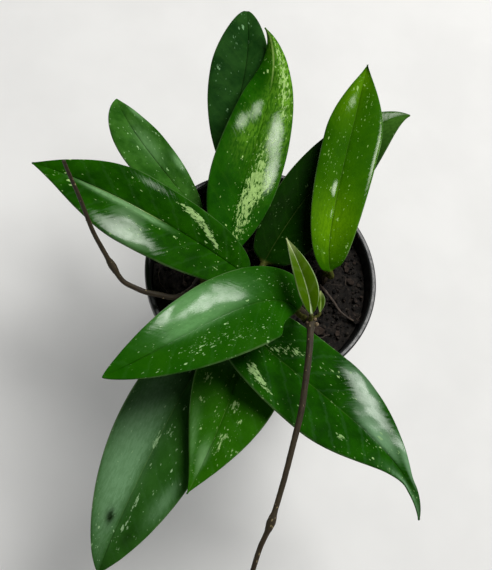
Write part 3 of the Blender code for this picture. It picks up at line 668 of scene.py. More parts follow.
def pot_material():
    """Black moulded plastic with a fine grain, dust, and soil splashed near the rim."""
    graph = Graph("pot_plastic")
    place = graph.object_place()
    height = graph.add("SeparateXYZ")
    graph.feed(height.inputs[0], place)
    z = height.outputs[2]
    dust = graph.noise(place, 0.09, 4.0, 0.6)
    grain = graph.noise(place, 3.5, 2.0, 0.6)
    scuff = graph.noise(place * (1.0, 1.0, 3.0), 0.6, 5.0, 0.7)
    colour = graph.mix(graph.level(dust, 0.35, 0.75, 0.0, 0.5), rgb(15, 18, 19), rgb(34, 37, 36))
    colour = graph.mix(graph.level(scuff, 0.6, 0.75, 0.0, 0.35), colour, rgb(70, 70, 64))
    near_rim = graph.level(z, 60.0, 90.0, 0.02, 0.12)
    specks = fleck_mask(graph, place, near_rim, 1.4, 9.0)
    colour = graph.mix(specks * 0.7, colour, rgb(70, 56, 42))
    rough = graph.level(scuff, 0.3, 0.75, 0.26, 0.5)
    graph.set(Base_Color=colour, Roughness=rough, Specular_IOR_Level=0.5,
              Normal=graph.bump(grain, 0.00008, 0.6))
    return graph.material


def floor_material():
    """Pale matt floor with a very faint grain, which glows faintly to lift its shadows and light the
    plant from below.
    """
    graph = Graph("floor_pale")
    place = graph.object_place()
    fine = graph.noise(place, 0.02, 3.0)
    colour = graph.mix(graph.level(fine, 0.3, 0.7), (0.60, 0.60, 0.59), (0.64, 0.64, 0.63))
    graph.set(Base_Color=colour, Roughness=0.9, Specular_IOR_Level=0.1,
              Emission_Color=(1.0, 1.0, 1.0), Emission_Strength=0.2)
    return graph.material


# Meshes

def link(obj):
    bpy.context.scene.collection.objects.link(obj)
    return obj


def mesh_object(name, vertices, faces, attributes, material):
    """A smooth mesh with vector attributes on its points. Vertices are in millimetres."""
    mesh = bpy.data.meshes.new(name)
    mesh.from_pydata([Vector(vertex) * MM for vertex in vertices], [], faces)
    mesh.update()
    for key, values in attributes.items():
        layer = mesh.attributes.new(key, "FLOAT_VECTOR", "POINT")
        layer.data.foreach_set("vector", [number for value in values for number in value])
    bm = bmesh.new()
    bm.from_mesh(mesh)
    bmesh.ops.recalc_face_normals(bm, faces=bm.faces)
    bm.to_mesh(mesh)
    bm.free()
    mesh.shade_smooth()
    mesh.materials.append(material)
    return link(bpy.data.objects.new(name, mesh))


def add_piece(obj, node=None):
    """A piece that rides on the part, and stands for one of its nodes where one is named."""
    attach(obj, "root")
    if node:
        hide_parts(node)


def circle(radius, count, turn=0.0):
    """Points (x, y) on a circle. Turn is how far they are moved round, in steps."""
    angles = [math.tau * (index + turn) / count for index in range(count)]
    return [(radius * math.cos(angle), radius * math.sin(angle)) for angle in angles]


def bridge(rings, count, first=0):
    """Quads between rings of count points, each ring closed, from point number first on."""
    faces = []
    for row in range(rings - 1):
        near = first + row * count
        far = near + count
        for index in range(count):
            after = (index + 1) % count
            faces.append((near + index, near + after, far + after, far + index))
    return faces


def fan(tip, first, count):
    """Triangles from one point to a closed ring that starts at point number first."""
    return [(tip, first + index, first + (index + 1) % count) for index in range(count)]


def capped(rings, count):
    """Faces of closed rings that come after a middle point and before another one."""
    last = 1 + (rings - 1) * count
    return bridge(rings, count, 1) + fan(0, 1, count) + fan(last + count, last, count)


# Stems

def smooth_route(points, spacing):
    """Points along a Catmull-Rom curve through the given ones, about spacing apart."""
    padded = [points[0] * 2 - points[1]] + list(points) + [points[-1] * 2 - points[-2]]
    route = []
    for before, start, end, after in zip(padded, padded[1:], padded[2:], padded[3:]):
        count = max(1, round((end - start).length / spacing))
        for step in range(count):
            t = step / count
            route.append(0.5 * (2 * start + (end - before) * t
                                + (2 * before - 5 * start + 4 * end - after) * t ** 2
                                + (3 * start - before - 3 * end + after) * t ** 3))
    route.append(points[-1])
    return route


def stem_radius(stem, share, place):
    """Radius in mm at a share of the length: an even taper with a swelling at each node."""
    radius = stem.radius[0] + (stem.radius[1] - stem.radius[0]) * share
    for node in stem.nodes:
        distance = (place - Vector(node)).length / NODE_SPREAD
        radius += stem.swell * math.exp(-distance * distance)
    return radius


def stem_tube(stem, spacing=1.0):
    """Points along a stem, about spacing apart, and the radius in mm at each."""
    route = smooth_route([Vector(point) for point in stem.route], spacing)
    last = len(route) - 1
    return route, [stem_radius(stem, index / last, place) for index, place in enumerate(route)]


def knot_at(stem, place):
    """1 at a stem's node, 0 away from it."""
    nearest = min((place - Vector(node)).length for node in stem.nodes)
    return math.exp(-(nearest / 2.2) ** 2)


def tube_mesh(name, route, radii, knots, material, sides=20, rough=0.05, seed=0.0):
    """A round stem with closed ends and an uneven skin."""
    vertices, place, share = [], [], []
    right = None
    travelled = 0.0
    last = len(route) - 1
    for index, centre in enumerate(route):
        ahead, behind = route[min(index + 1, last)], route[max(index - 1, 0)]
        direction = (ahead - behind).normalized()
        if right is None:
            right = direction.orthogonal().normalized()
        right = (right - direction * direction.dot(right)).normalized()
        up = right.cross(direction)
        if index:
            travelled += (centre - route[index - 1]).length
        for turn in range(sides):
            angle = math.tau * turn / sides
            x, y = math.cos(angle), math.sin(angle)
            uneven = 1 + rough * wave(x * 1.3 + seed, y * 1.3, travelled * 0.35)
            uneven += 0.5 * rough * wave(x * 3 + seed, y * 3, travelled * 1.1)
            radius = radii[index] * uneven
            vertices.append(centre + (right * x + up * y) * radius)
            place.append((x * radii[index], y * radii[index], travelled + seed * 10))
            share.append((index / last, knots[index], 0.0))
    faces = bridge(len(route), sides)
    faces.append(tuple(reversed(range(sides))))
    faces.append(tuple(range(len(vertices) - sides, len(vertices))))
    return mesh_object(name, vertices, faces, {"tube_mm": place, "tube_share": share}, material)


def rounded_ends(route, radii):
    """The same tube with a domed far end."""
    tip, before = route[-1], route[-2]
    direction = (tip - before).normalized()
    radius = radii[-1]
    base = [place for place in route if (place - tip).length > radius]
    kept = radii[:len(base)]
    start = tip - direction * radius
    for step in range(7):
        angle = math.pi / 2 * step / 6.3
        base.append(start + direction * (radius * math.sin(angle)))
        kept.append(radius * math.cos(angle))
    return base, kept


def make_stem(name, stem, material, seed):
    route, radii = rounded_ends(*stem_tube(stem, 0.8))
    knots = [knot_at(stem, place) for place in route]
    for index, place in enumerate(route):
        for node in stem.nodes:
            off = (place - Vector(node)).length
            radii[index] += 0.12 * math.exp(-((off - 2.4) / 0.5) ** 2)
    obj = tube_mesh(name + "_vine", route, radii, knots, material, seed=seed)
    add_piece(obj, name)


def make_knobs(material):
    """Root nubs along the vines, and the dry stub and knob at the front vine's node."""
    draw = random.Random(19)
    bm = bmesh.new()
    for name, reach in (("stem_front", 14.0), ("stem_left", 12.0)):
        stem = STEMS[name]
        route, radii = stem_tube(stem, 0.8)
        spots = [index for index, place in enumerate(route)
                 if place.z > POT_HEIGHT + 4 and index < len(route) - 6]
        for index in draw.sample(spots, round(reach)):
            along = (route[index + 1] - route[index]).normalized()
            side = along.orthogonal().normalized()
            turn = draw.uniform(0, math.tau)
            out = side * math.cos(turn) + along.cross(side) * math.sin(turn)
            nub(bm, route[index] + out * radii[index] * 0.95, draw.uniform(0.16, 0.34), draw)
    joint = Vector(STEMS["stem_front"].nodes[0])
    for offset, size in (((2.4, -0.9, 0.9), 0.85), ((1.6, 0.9, 1.5), 0.7),
                         ((-1.5, -0.6, 1.6), 0.55)):
        nub(bm, joint + Vector(offset), size, draw)
    mesh = bpy.data.meshes.new("node_knobs")
    bm.to_mesh(mesh)
    bm.free()
    mesh.shade_smooth()
    mesh.materials.append(material)
    add_piece(link(bpy.data.objects.new("node_knobs", mesh)))


def nub(bm, centre, size, draw):
    """One small rough knob."""
    made = bmesh.ops.create_icosphere(bm, subdivisions=2, radius=1.0)["verts"]
    offset = Vector((draw.uniform(0, 50), draw.uniform(0, 50), 0))
    for vertex in made:
        bumpy = 1 + 0.35 * noise.noise(vertex.co * 1.3 + offset)
        vertex.co = (centre + vertex.co * size * bumpy) * MM


def knob_material():
    """Dry corky knobs."""
    graph = Graph("hoya_knobs")
    place = graph.object_place()
    grain = graph.noise(place, 2.5, 4.0, 0.65)
    colour = graph.mix(graph.level(grain, 0.35, 0.65), rgb(58, 44, 30), rgb(150, 130, 96))
    graph.set(Base_Color=colour, Roughness=0.75, Normal=graph.bump(grain, 0.0002, 0.9))
    return graph.material


# Soil

def soil_height(x, y):
    """Height of the lumpy soil in mm at a place in mm."""
    lumps = LUMP_HEIGHT * wave(x / LUMP_SIZE, y / LUMP_SIZE, 0.3)
    crumbs = CRUMB_HEIGHT * wave(x / CRUMB_SIZE, y / CRUMB_SIZE, 4.7)
    edge = smoothstep((RIM_RADIUS - 5.0 - math.hypot(x, y)) / 8.0)
    return SOIL_TOP + (lumps + crumbs + MOUND_HEIGHT) * edge


def crumbly_height(x, y):
    """The soil's height with its fine crumbs."""
    cell = noise.voronoi(Vector((x / 2.3, y / 2.3, 1.7)))[0]
    fine = noise.voronoi(Vector((x / 1.1, y / 1.1, 5.2)))[0]
    return soil_height(x, y) - 1.5 * min(cell[0], 0.8) - 0.7 * min(fine[0], 0.8) \
        + 0.6 * wave(x / 0.7, y / 0.7, 2.0)


def inner_wall(clearance=0.0):
    """The pot's inner wall from its floor up, as (radius, height), moved in by clearance."""
    collar = POT_HEIGHT - COLLAR_DROP
    lip = RIM_RADIUS - LIP_WIDTH
    return [
        (FOOT_RADIUS - WALL - clearance, FLOOR_TOP + clearance),
        (RIM_RADIUS - COLLAR_INSET - WALL - COLLAR_STEP - clearance, collar - 1.2),
        (RIM_RADIUS - COLLAR_INSET - WALL - clearance, collar + 0.8),
        (lip - LIP_INSET - clearance, POT_HEIGHT - LIP_DEPTH),
    ]


def make_soil(material):
    """The body of soil: a fine crumbly top on plain sides and bottom."""
    edge = RIM_RADIUS - LIP_WIDTH - LIP_INSET - 2.0 * GAP
    vertices = [(0.0, 0.0, crumbly_height(0, 0))]
    for index in range(1, SOIL_RINGS + 1):
        radius = edge * (index / SOIL_RINGS) ** 0.85
        vertices += [(x, y, crumbly_height(x, y))
                     for x, y in circle(radius, SOIL_SIDES, 0.3 * (radius % 1.0))]
    crumb = [(0.5 + 0.5 * wave(x / 1.4, y / 1.4, 8.0), 0.0, 0.0) for x, y, _ in vertices]
    walls = [point for point in reversed(inner_wall(GAP)) if point[1] < SOIL_TOP - 1.0]
    for radius, height in walls:
        vertices += [(x, y, height) for x, y in circle(radius, SOIL_SIDES)]
    vertices.append((0.0, 0.0, FLOOR_TOP + GAP))
    crumb += [(0.4, 0.0, 0.0)] * (len(vertices) - len(crumb))
    faces = capped(SOIL_RINGS + len(walls), SOIL_SIDES)
    add_piece(mesh_object("soil_body", vertices, faces, {"crumb": crumb}, material), "soil")


def lump(bm, centre, size, draw, crumb, bark):
    """One crumb or bark chip: a rough ball, flattened and turned at random."""
    made = bmesh.ops.create_icosphere(bm, subdivisions=2 if size > 1.2 else 1, radius=1.0)["verts"]
    turn = Matrix.Rotation(draw.uniform(0, math.tau), 3, "Z") @ Matrix.Rotation(
        draw.uniform(-0.5, 0.5), 3, "X") @ Matrix.Rotation(draw.uniform(-0.5, 0.5), 3, "Y")
    flat = draw.uniform(0.25, 0.45) if bark else draw.uniform(0.6, 0.95)
    stretch = draw.uniform(1.0, 1.9) if bark else draw.uniform(0.8, 1.3)
    offset = Vector((draw.uniform(0, 50), draw.uniform(0, 50), draw.uniform(0, 50)))
    pick = draw.random()
    for vertex in made:
        bumpy = 1 + 0.75 * noise.noise(vertex.co * 1.25 + offset)
        shape = Vector((vertex.co.x * stretch, vertex.co.y, vertex.co.z * flat)) * bumpy * size
        vertex.co = (centre + turn @ shape) * MM
        crumb.append((pick, 0.0, 0.0))


def clear_of_stems(x, y, margin):
    """True where no stem stands at the soil's top."""
    return all(math.hypot(x - stem.route[2][0], y - stem.route[2][1]) > margin
               for stem in STEMS.values())


def scatter(name, count, sizes, bark, material, seed):
    """Many lumps on the soil's top, as one piece."""
    draw = random.Random(seed)
    bm = bmesh.new()
    crumb = []
    placed = 0
    while placed < count:
        radius = LUMP_REACH * math.sqrt(draw.random())
        angle = draw.uniform(0, math.tau)
        x, y = radius * math.cos(angle), radius * math.sin(angle)
        size = sizes[0] + (sizes[1] - sizes[0]) * draw.random() ** 2.2
        if radius + size > LUMP_LIMIT or not clear_of_stems(x, y, STEM_MARGIN + size):
            continue
        sunk = draw.uniform(-0.1, 0.35) * size
        lump(bm, Vector((x, y, soil_height(x, y) - 0.6 + sunk)), size, draw, crumb, bark)
        placed += 1
    mesh = bpy.data.meshes.new(name)
    bm.to_mesh(mesh)
    bm.free()
    layer = mesh.attributes.new("crumb", "FLOAT_VECTOR", "POINT")
    layer.data.foreach_set("vector", [number for value in crumb for number in value])
    mesh.materials.append(material)
    add_piece(link(bpy.data.objects.new(name, mesh)))


def make_root(material):
    """The thin root that lies on the soil."""
    route = smooth_route([Vector((x, y, 0)) for x, y in ROOT_ROUTE], 0.7)
    for place in route:
        place.z = soil_height(place.x, place.y) + ROOT_RADIUS + 0.2
        place.x += 0.25 * wave(place.y * 0.5, 1.0)
    last = len(route) - 1
    radii = [ROOT_RADIUS * (1 - 0.45 * index / last) * (1 + 0.18 * wave(index * 0.4, 3.0))
             for index in range(len(route))]
    obj = tube_mesh("surface_root_skin", route, radii, [0.0] * len(route), material, sides=12,
                    rough=0.12, seed=4.0)
    add_piece(obj, "surface_root")


def fibre(vertices, faces, place, route, radius):
    """Adds a thin five-sided fibre to the lists."""
    first = len(vertices)
    sides = 5
    for index, centre in enumerate(route):
        ahead, behind = route[min(index + 1, len(route) - 1)], route[max(index - 1, 0)]
        direction = (ahead - behind).normalized()
        right = direction.cross(Vector((0.3, 0.2, 0.9))).normalized()
        up = right.cross(direction)
        thin = radius * (1 - 0.5 * index / len(route))
        for turn in range(sides):
            angle = math.tau * turn / sides
            vertices.append(centre + (right * math.cos(angle) + up * math.sin(angle)) * thin)
            place.append((math.cos(angle), math.sin(angle), index * 0.8 + first))
    faces += bridge(len(route), sides, first)
    faces.append(tuple(first + index for index in reversed(range(sides))))
    faces.append(tuple(range(len(vertices) - sides, len(vertices))))


def make_fibres(material):
    """Fine roots on the soil, and a tuft of them against the rim."""
    draw = random.Random(31)
    vertices, faces, place = [], [], []
    for _ in range(46):
        radius = FIBRE_REACH * math.sqrt(draw.random())
        angle = draw.uniform(0, math.tau)
        at = Vector((radius * math.cos(angle), radius * math.sin(angle), 0))
        heading = draw.uniform(0, math.tau)
        route = []
        for _ in range(draw.randint(6, 12)):
            heading += draw.uniform(-0.5, 0.5)
            at = at + Vector((math.cos(heading), math.sin(heading), 0)) * 1.1
            if at.length > FIBRE_LIMIT:
                break
            lift = 0.35 + 0.4 * draw.random()
            route.append(Vector((at.x, at.y, soil_height(at.x, at.y) + lift)))
        if len(route) > 3:
            fibre(vertices, faces, place, route, draw.uniform(0.1, 0.22))
    for _ in range(16):
        start = Vector((41.5 + draw.uniform(-1.2, 1.2), -17.5 + draw.uniform(-1.5, 1.5), 83.6))
        lean = Vector((draw.uniform(0.1, 0.75), draw.uniform(-0.25, 0.7), draw.uniform(0.3, 0.9)))
        sag = draw.uniform(0.4, 1.0)
        route = [start + lean * (t * 1.05) + Vector((0, 0, -0.09 * sag * t * t))
                 for t in range(7)]
        route = [point for point in route if math.hypot(point.x, point.y) < TUFT_LIMIT]
        if len(route) > 3:
            fibre(vertices, faces, place, route, 0.09)
    add_piece(mesh_object("soil_fibres", vertices, faces, {"tube_mm": place}, material))


# Pot

def pot_profile():
    """The pot's whole section from the middle of its floor, round the lip, to its foot."""
    collar = POT_HEIGHT - COLLAR_DROP
    under = POT_HEIGHT - LIP_DEPTH
    lip_in, lip_out = RIM_RADIUS - LIP_WIDTH, RIM_RADIUS
    inside = [(0.0, FLOOR_TOP), (28.0, FLOOR_TOP), (32.0, FLOOR_TOP)] + inner_wall()
    lip = []
    for centre, size, start in ((lip_in + 1.1, 1.1, math.pi), (lip_out - 0.8, 0.8, math.pi / 2)):
        for step in range(9):
            angle = start - math.pi / 2 * step / 8
            lip.append((centre + size * math.cos(angle), POT_HEIGHT - size + size * math.sin(angle)))
    outside = [
        (lip_out - 0.05, POT_HEIGHT - 2.0),
        (lip_out - 0.25, under + 0.45),
        (lip_out - 0.45, under + 0.15),
        (lip_out - LIP_INSET, under),
        (RIM_RADIUS - COLLAR_INSET + 0.95, under - 0.1),
        (RIM_RADIUS - COLLAR_INSET + 0.75, under - 0.5),
        (RIM_RADIUS - COLLAR_INSET + 0.1, collar + 0.9),
        (RIM_RADIUS - COLLAR_INSET, collar + 0.2),
        (RIM_RADIUS - COLLAR_INSET - 0.4, collar - 0.5),
        (RIM_RADIUS - COLLAR_INSET - COLLAR_STEP + 0.3, collar - 1.4),
        (RIM_RADIUS - COLLAR_INSET - COLLAR_STEP, collar - 2.0),
        (FOOT_RADIUS + 1.0, 3.4),
        (FOOT_RADIUS + 0.6, 1.6),
        (FOOT_RADIUS + 0.1, 0.6),
        (FOOT_RADIUS - 0.6, 0.0),
    ]
    ring = FOOT_RADIUS - FOOT_RING_WIDTH
    underside = [(ring + 0.3, 0.0), (ring, 0.2), (ring - 0.5, RECESS_HEIGHT - 0.3),
                 (ring - 0.9, RECESS_HEIGHT), (CENTRE_PAD_RADIUS + 0.4, RECESS_HEIGHT),
                 (CENTRE_PAD_RADIUS, RECESS_HEIGHT - 0.3), (CENTRE_PAD_RADIUS - 0.4, 0.2),
                 (CENTRE_PAD_RADIUS - 0.6, 0.0), (0.0, 0.0)]
    return inside + lip + outside + underside


def make_pot(material):
    """The pot, turned finely from its section, with its drain holes cut."""
    profile = pot_profile()
    vertices = [(0, 0, profile[0][1])]
    for radius, height in profile[1:-1]:
        vertices += [(x, y, height) for x, y in circle(radius, POT_STEPS)]
    vertices.append((0, 0, profile[-1][1]))
    pot = mesh_object("pot_shell", vertices, capped(len(profile) - 2, POT_STEPS), {}, material)
    turn = DRAIN_TURN * DRAIN_HOLES / math.tau
    for x, y in circle(DRAIN_RING_RADIUS, DRAIN_HOLES, turn):
        bpy.ops.mesh.primitive_cylinder_add(
            vertices=40, radius=DRAIN_HOLE_RADIUS * MM, depth=10 * MM,
            location=Vector((x, y, 3)) * MM)
        cutter = bpy.context.object
        boolean = pot.modifiers.new("drain", "BOOLEAN")
        boolean.operation = "DIFFERENCE"
        boolean.solver = "EXACT"
        boolean.object = cutter
        with bpy.context.temp_override(object=pot, active_object=pot):
            bpy.ops.object.modifier_apply(modifier=boolean.name)
        bpy.data.objects.remove(cutter, do_unlink=True)
    pot.data.shade_smooth()
    pot.data.set_sharp_from_angle(angle=math.radians(40))
    add_piece(pot, "pot")


# Leaves

def midrib_point(leaf, s):
    """Point in mm at share s of the blade, on the cubic through the four midrib points."""
    base, first, second, tip = (Vector(point) for point in leaf.midrib)
    near = (-5 * base + 18 * first - 9 * second + 2 * tip) / 6
    far = (2 * base - 9 * first + 18 * second - 5 * tip) / 6
    r = 1 - s
    return base * r ** 3 + near * (3 * s * r ** 2) + far * (3 * s ** 2 * r) + tip * s ** 3


def blade_direction(leaf, s):
    step = 0.002
    ahead = midrib_point(leaf, min(s + step, 1.0))
    behind = midrib_point(leaf, max(s - step, 0.0))
    return (ahead - behind).normalized()


def half_width(leaf, s):
    """Half of the blade's width in mm at share s."""
    body = 1.0 - leaf.drip
    q = min(s / body, 1.0)
    if q < leaf.widest:
        share = math.sin(math.pi / 2 * q / leaf.widest) ** leaf.base_power
    else:
        turn = math.pi / 2 * (q - leaf.widest) / (1 - leaf.widest)
        share = max(math.cos(turn), 0.0) ** leaf.tip_power
    width = leaf.width / 2 * share
    if leaf.drip and s > 0.5:
        width = math.hypot(width, DRIP_HALF_WIDTH * min((1 - s) / leaf.drip, 1.0) ** 0.8)
    return max(width, SMALLEST_HALF_WIDTH)


def axes(direction, roll):
    """Right and normal of a section across a direction, rolled by an angle in degrees."""
    right = direction.cross(UP).normalized()
    normal = right.cross(direction)
    angle = math.radians(roll)
    return (right * math.cos(angle) + normal * math.sin(angle),
            normal * math.cos(angle) - right * math.sin(angle))


def section_curve(leaf, s, v):
    """Place across the blade, as (right, up) in half widths, at column v from -1 to 1."""
    fold = math.radians(leaf.fold)
    if v < 0:
        fold += math.radians(leaf.tuck) * smoothstep(2 * s - 1)
    side = 1 + leaf.lean * (1 if v > 0 else -1)
    size = abs(v)
    rise = size * math.sin(fold) + ARCH * math.sin(math.pi * size) - EDGE_DROOP * size ** 3
    return v * math.cos(fold) * side, rise * side


def section_normal(leaf, s, v):
    """Unit normal of the section curve, as (right, up)."""
    step = 0.02
    x0, h0 = section_curve(leaf, s, max(v - step, -1.0))
    x1, h1 = section_curve(leaf, s, min(v + step, 1.0))
    length = math.hypot(x1 - x0, h1 - h0)
    return -(h1 - h0) / length, (x1 - x0) / length


def blade_thickness(leaf, v, width):
    """Thickness in mm at column v, rounded off at the edges."""
    full = TIP_THICKNESS + (leaf.thickness - TIP_THICKNESS) * (1 - EDGE_THIN * v * v) \
        * min(width / 6.0, 1.0)
    rim = (abs(v) - 0.93) / 0.07
    return full * math.sqrt(max(1 - rim * rim, 0.0025)) if rim > 0 else full


class Section:
    """What one section of a blade needs, worked out once."""

    def __init__(self, leaf, s):
        self.leaf, self.s = leaf, s
        self.centre = midrib_point(leaf, s)
        self.right, self.normal = axes(blade_direction(leaf, s), leaf.bank)
        self.width = half_width(leaf, s)

    def point(self, v, face, seed):
        """Point in mm on the upper (face 1) or lower (face -1) side of the blade."""
        leaf, width = self.leaf, self.width
        x, h = section_curve(leaf, self.s, v)
        nx, nh = section_normal(leaf, self.s, v)
        nx *= min(width / 4.0, 1.0)
        slim = min(width / 6.0, 1.0)
        offset = face * blade_thickness(leaf, v, width) / 2
        if face > 0:
            offset -= GROOVE_DEPTH * math.exp(-(v / GROOVE_SPREAD) ** 2) * slim
        else:
            offset -= KEEL_HEIGHT * math.exp(-(v / KEEL_SPREAD) ** 2) * slim
        length = (Vector(leaf.midrib[3]) - Vector(leaf.midrib[0])).length
        swell = 0.30 * wave(v * width / 9.0 + seed, self.s * length / 12.0, seed) * slim
        swell += 0.12 * wave(v * width / 4.0 + seed, self.s * length / 5.0, seed + 9) * slim
        edge_wave = 0.35 * v ** 4 * slim * wave(seed + (2.0 if v > 0 else 7.0), self.s * length / 9.0)
        wavy = leaf.ripple * v * v * math.sin(math.tau * leaf.ripple_turns * self.s)
        return (self.centre + self.right * (x * width + nx * (offset + swell))
                + self.normal * (h * width + nh * (offset + swell) + wavy + edge_wave))


def stalk_start(stem, leaf, joint, out):
    """Where a stalk that leaves a node along out begins, just off the stem's surface."""
    route, radii = stem_tube(stem)
    side = out.orthogonal().normalized()
    across = out.cross(side)
    turns = [math.tau * index / 12 for index in range(12)]
    rim = [(side * math.cos(turn) + across * math.sin(turn)) * leaf.petiole for turn in turns]
    reach = 0.0
    while True:
        start = joint + out * reach
        nearest = min((start + offset - place).length - radius
                      for offset in rim for place, radius in zip(route, radii))
        if nearest > PETIOLE_CLEARANCE:
            return start
        reach += 0.05


def petiole_path(leaf):
    """Bezier handles in mm of the leaf stalk, from inside the stem's node to the blade."""
    stem = STEMS[leaf.stem]
    joint, base = Vector(stem.nodes[leaf.node]), Vector(leaf.midrib[0])
    out = (base - joint).normalized()
    start = stalk_start(stem, leaf, joint, out)
    length = (base - start).length
    bend = base - blade_direction(leaf, 0.0) * (length * PETIOLE_BEND)
    return start, start + out * (length * 0.3), bend, base


def petiole_point(path, t):
    r = 1 - t
    a, b, c, d = path
    return a * r ** 3 + b * (3 * t * r ** 2) + c * (3 * t ** 2 * r) + d * t ** 3


def ring_offset(index, count):
    """Direction, as (right, up), of point index on a stalk's round section."""
    half = count // 2
    step = math.pi / half
    if index < half:
        angle = math.pi - (index + 0.5) * step
    else:
        angle = -(index - half + 0.5) * step
    return math.cos(angle), math.sin(angle)


def columns():
    """Places across the blade, closer together at the rib and the edges."""
    right = []
    for index in range(1, HALF_COLUMNS + 1):
        even = index / HALF_COLUMNS
        right.append(0.45 * even + 0.55 * (0.5 - 0.5 * math.cos(math.pi * even)))
    return [-v for v in reversed(right)] + [0.0] + right


def blot(marks, s, v):
    """Sum of a leaf's blots at a place on its blade."""
    total = 0.0
    for along, across, reach, spread, strength in marks:
        d = ((s - along) / reach) ** 2 + ((v - across) / spread) ** 2
        if d < 9:
            total += strength * math.exp(-d)
    return min(total, 1.2)


def petiole_rows(leaf, path, count):
    """Rings of the stalk, from just inside the stem's skin to the blade."""
    blade_right = axes(blade_direction(leaf, 0.0), leaf.bank)[0]
    start = path[0]
    joint = Vector(STEMS[leaf.stem].nodes[leaf.node])
    inward = (joint - start).normalized()
    rows = []
    for index in range(PETIOLE_ROWS):
        t = (index - 2) / (PETIOLE_ROWS - 2)
        if t < 0:
            centre, direction = start + inward * (-t * 14.0), -inward
        else:
            ahead = petiole_point(path, min(t + 0.01, 1.0))
            behind = petiole_point(path, max(t - 0.01, 0))
            centre, direction = petiole_point(path, t), (ahead - behind).normalized()
        right = (blade_right - direction * direction.dot(blade_right)).normalized()
        normal = right.cross(direction)
        radius = leaf.petiole * (1 + 0.22 * math.exp(-(max(t, 0.0) / 0.12) ** 2))
        ring = []
        for place in range(count):
            x, h = ring_offset(place, count)
            uneven = 1 + 0.06 * wave(x * 1.5, h * 1.5, t * 6 + leaf.width)
            ring.append(centre + (right * x + normal * h) * (radius * uneven))
        rows.append(ring)
    return rows


def stalk_values(leaf, order):
    """What the material reads on each point of the stalk, in the order of LEAF_LAYERS."""
    values = []
    for row in range(PETIOLE_ROWS):
        back = (PETIOLE_ROWS - row) * 0.4
        values += [((v * leaf.petiole * 2, -back, face), (v * 0.5, 0.0, 1.0), (0.0, 0.0, 0.0),
                    (0.2, 0.0, 0.0)) for v, face in order]
    return values


def blade_values(leaf, s, v, face, width, length):
    """What the material reads at a place on the blade, in the order of LEAF_LAYERS."""
    return ((v * width, s * length, face),
            (v, s, 1 - smoothstep(s / 0.035)),
            (blot(leaf.splash, s, v), blot(leaf.tint_and_sheen, s, v), blot(leaf.dark, s, v)),
            (0.02 + blot(leaf.gloss, s, v), 0.0, 0.0))


def blade_ring(section, order, seed):
    """Points round one section of the blade, which near its base are drawn in to the stalk."""
    blend = smoothstep(section.s / BLEND_SHARE)
    ring = []
    for index, (v, face) in enumerate(order):
        point = section.point(v, face, seed)
        if blend < 1:
            x, h = ring_offset(index, len(order))
            out = (section.right * x + section.normal * h) * section.leaf.petiole
            point = (section.centre + out).lerp(point, blend)
        ring.append(point)
    return ring


def make_leaf(name, leaf, seed, material):
    """A fine closed blade with its stalk, with the attributes that its material reads."""
    across = columns()
    order = [(v, 1.0) for v in across] + [(v, -1.0) for v in reversed(across)]
    count = len(order)
    rings = petiole_rows(leaf, petiole_path(leaf), count)
    values = stalk_values(leaf, order)
    spots = [midrib_point(leaf, index / 20) for index in range(21)]
    length = sum((end - start).length for start, end in zip(spots, spots[1:]))
    for row in range(BLADE_ROWS):
        even = row / BLADE_ROWS
        s = 0.5 * even + 0.5 * (0.5 - 0.5 * math.cos(math.pi * even))
        section = Section(leaf, s)
        rings.append(blade_ring(section, order, seed))
        values += [blade_values(leaf, s, v, face, section.width, length) for v, face in order]
    vertices = [point for ring in rings for point in ring] + [midrib_point(leaf, 1.0)]
    values.append(((0.0, length, 1.0), (0.0, 1.0, 0.0), (0.0, blot(leaf.tint_and_sheen, 1.0, 0.0), 0.0),
                   (0.1, 0.0, 0.0)))
    faces = bridge(len(rings), count) + [tuple(reversed(range(count)))]
    faces += fan(len(vertices) - 1, (len(rings) - 1) * count, count)
    layers = dict(zip(LEAF_LAYERS, zip(*values)))
    add_piece(mesh_object(name + "_blade", vertices, faces, layers, material), name)


# Stage

def add_camera():
    """The photograph's camera."""
    azimuth, elevation = math.radians(VIEW_AZIMUTH), math.radians(VIEW_ELEVATION)
    back = Vector((-math.sin(azimuth) * math.cos(elevation),
                   -math.cos(azimuth) * math.cos(elevation), math.sin(elevation)))
    right = (-back).cross(Vector((0, 1, 0))).normalized()
    up = right.cross(-back)
    across = (PHOTO_WIDTH / 2 - RIM_CENTRE_PIXEL[0]) / PIXELS_PER_MM
    rise = (RIM_CENTRE_PIXEL[1] - PHOTO_HEIGHT / 2) / PIXELS_PER_MM
    data = bpy.data.cameras.new("camera")
    data.sensor_width = 36.0
    data.lens = VIEW_DISTANCE * PIXELS_PER_MM * 36.0 / PHOTO_HEIGHT
    data.clip_start = 0.01
    camera = link(bpy.data.objects.new("camera", data))
    turn = Matrix((right, up, back)).transposed().to_4x4()
    place = Vector((0, 0, POT_HEIGHT)) + back * VIEW_DISTANCE + right * across + up * rise
    camera.matrix_world = Matrix.Translation(place * MM) @ turn
    bpy.context.scene.camera = camera


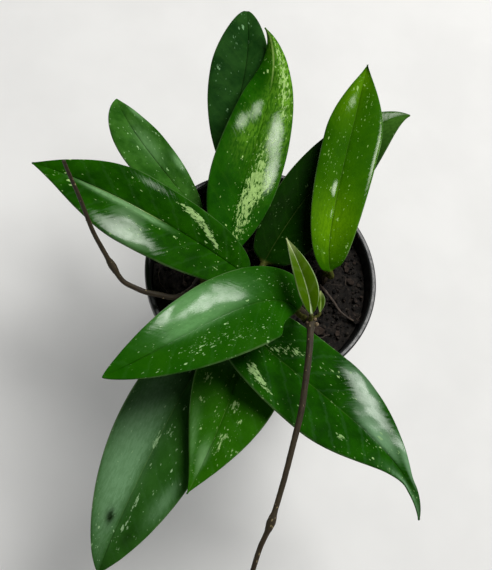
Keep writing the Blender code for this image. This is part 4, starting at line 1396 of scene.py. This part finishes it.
def area_light(name, azimuth, elevation, distance, size, power, colour):
    """A soft light aimed at the plant from an azimuth (0 is +X, 90 is +Y) and elevation."""
    a, e = math.radians(azimuth), math.radians(elevation)
    toward = Vector((math.cos(a) * math.cos(e), math.sin(a) * math.cos(e), math.sin(e)))
    data = bpy.data.lights.new(name, "AREA")
    data.shape = "DISK"
    data.size = size
    data.energy = power
    data.color = colour
    light = link(bpy.data.objects.new(name, data))
    light.location = toward * distance + Vector((0, 0, 0.1))
    light.rotation_euler = toward.to_track_quat("Z", "Y").to_euler()


def add_lights():
    area_light("key", 40, 60, 1.3, 0.84, 20.0, (1.0, 0.99, 0.97))
    world = bpy.data.worlds.new("studio")
    bpy.context.scene.world = world
    world.use_nodes = True
    background = world.node_tree.nodes["Background"]
    background.inputs[0].default_value = (1.0, 0.98, 0.94, 1.0)
    background.inputs[1].default_value = 0.04


def add_floor():
    """A pale floor that curves up into a low wall far from the plant."""
    section = ((400, 0), (900, 0), (1200, 5), (1350, 40), (1460, 120), (1540, 250), (1590, 450),
               (1620, 800))
    steps = 96
    vertices = [(x, y, height) for radius, height in section for x, y in circle(radius, steps)]
    faces = bridge(len(section), steps) + fan(len(vertices), 0, steps)
    floor = mesh_object("floor", vertices + [(0, 0, 0)], faces, {}, floor_material())
    floor.location = (0, 0, -0.0003)


def main():
    make_pot(pot_material())
    make_soil(soil_material("soil_crumbs", rgb(7, 6, 5), rgb(36, 31, 26), rgb(56, 48, 42)))
    scatter("soil_lumps", 1700, (0.3, 1.15), False,
            soil_material("soil_lumps", rgb(9, 8, 6), rgb(42, 36, 30), rgb(66, 56, 48)), 7)
    scatter("bark_chips", 80, (0.7, 2.4), True,
            soil_material("bark", rgb(14, 10, 8), rgb(52, 41, 33), rgb(74, 62, 54)), 11)
    make_fibres(root_material())
    make_root(root_material())
    vine = stem_material()
    for index, (name, stem) in enumerate(STEMS.items()):
        make_stem(name, stem, vine, 1.0 + index * 3.7)
    make_knobs(knob_material())
    for index, (name, leaf) in enumerate(LEAVES.items()):
        make_leaf(name, leaf, 2.3 + index * 5.1, leaf_material("hoya_" + name, leaf))
    add_floor()
    add_lights()
    add_camera()


main()
bpy.context.scene.view_settings.view_transform = "Standard"
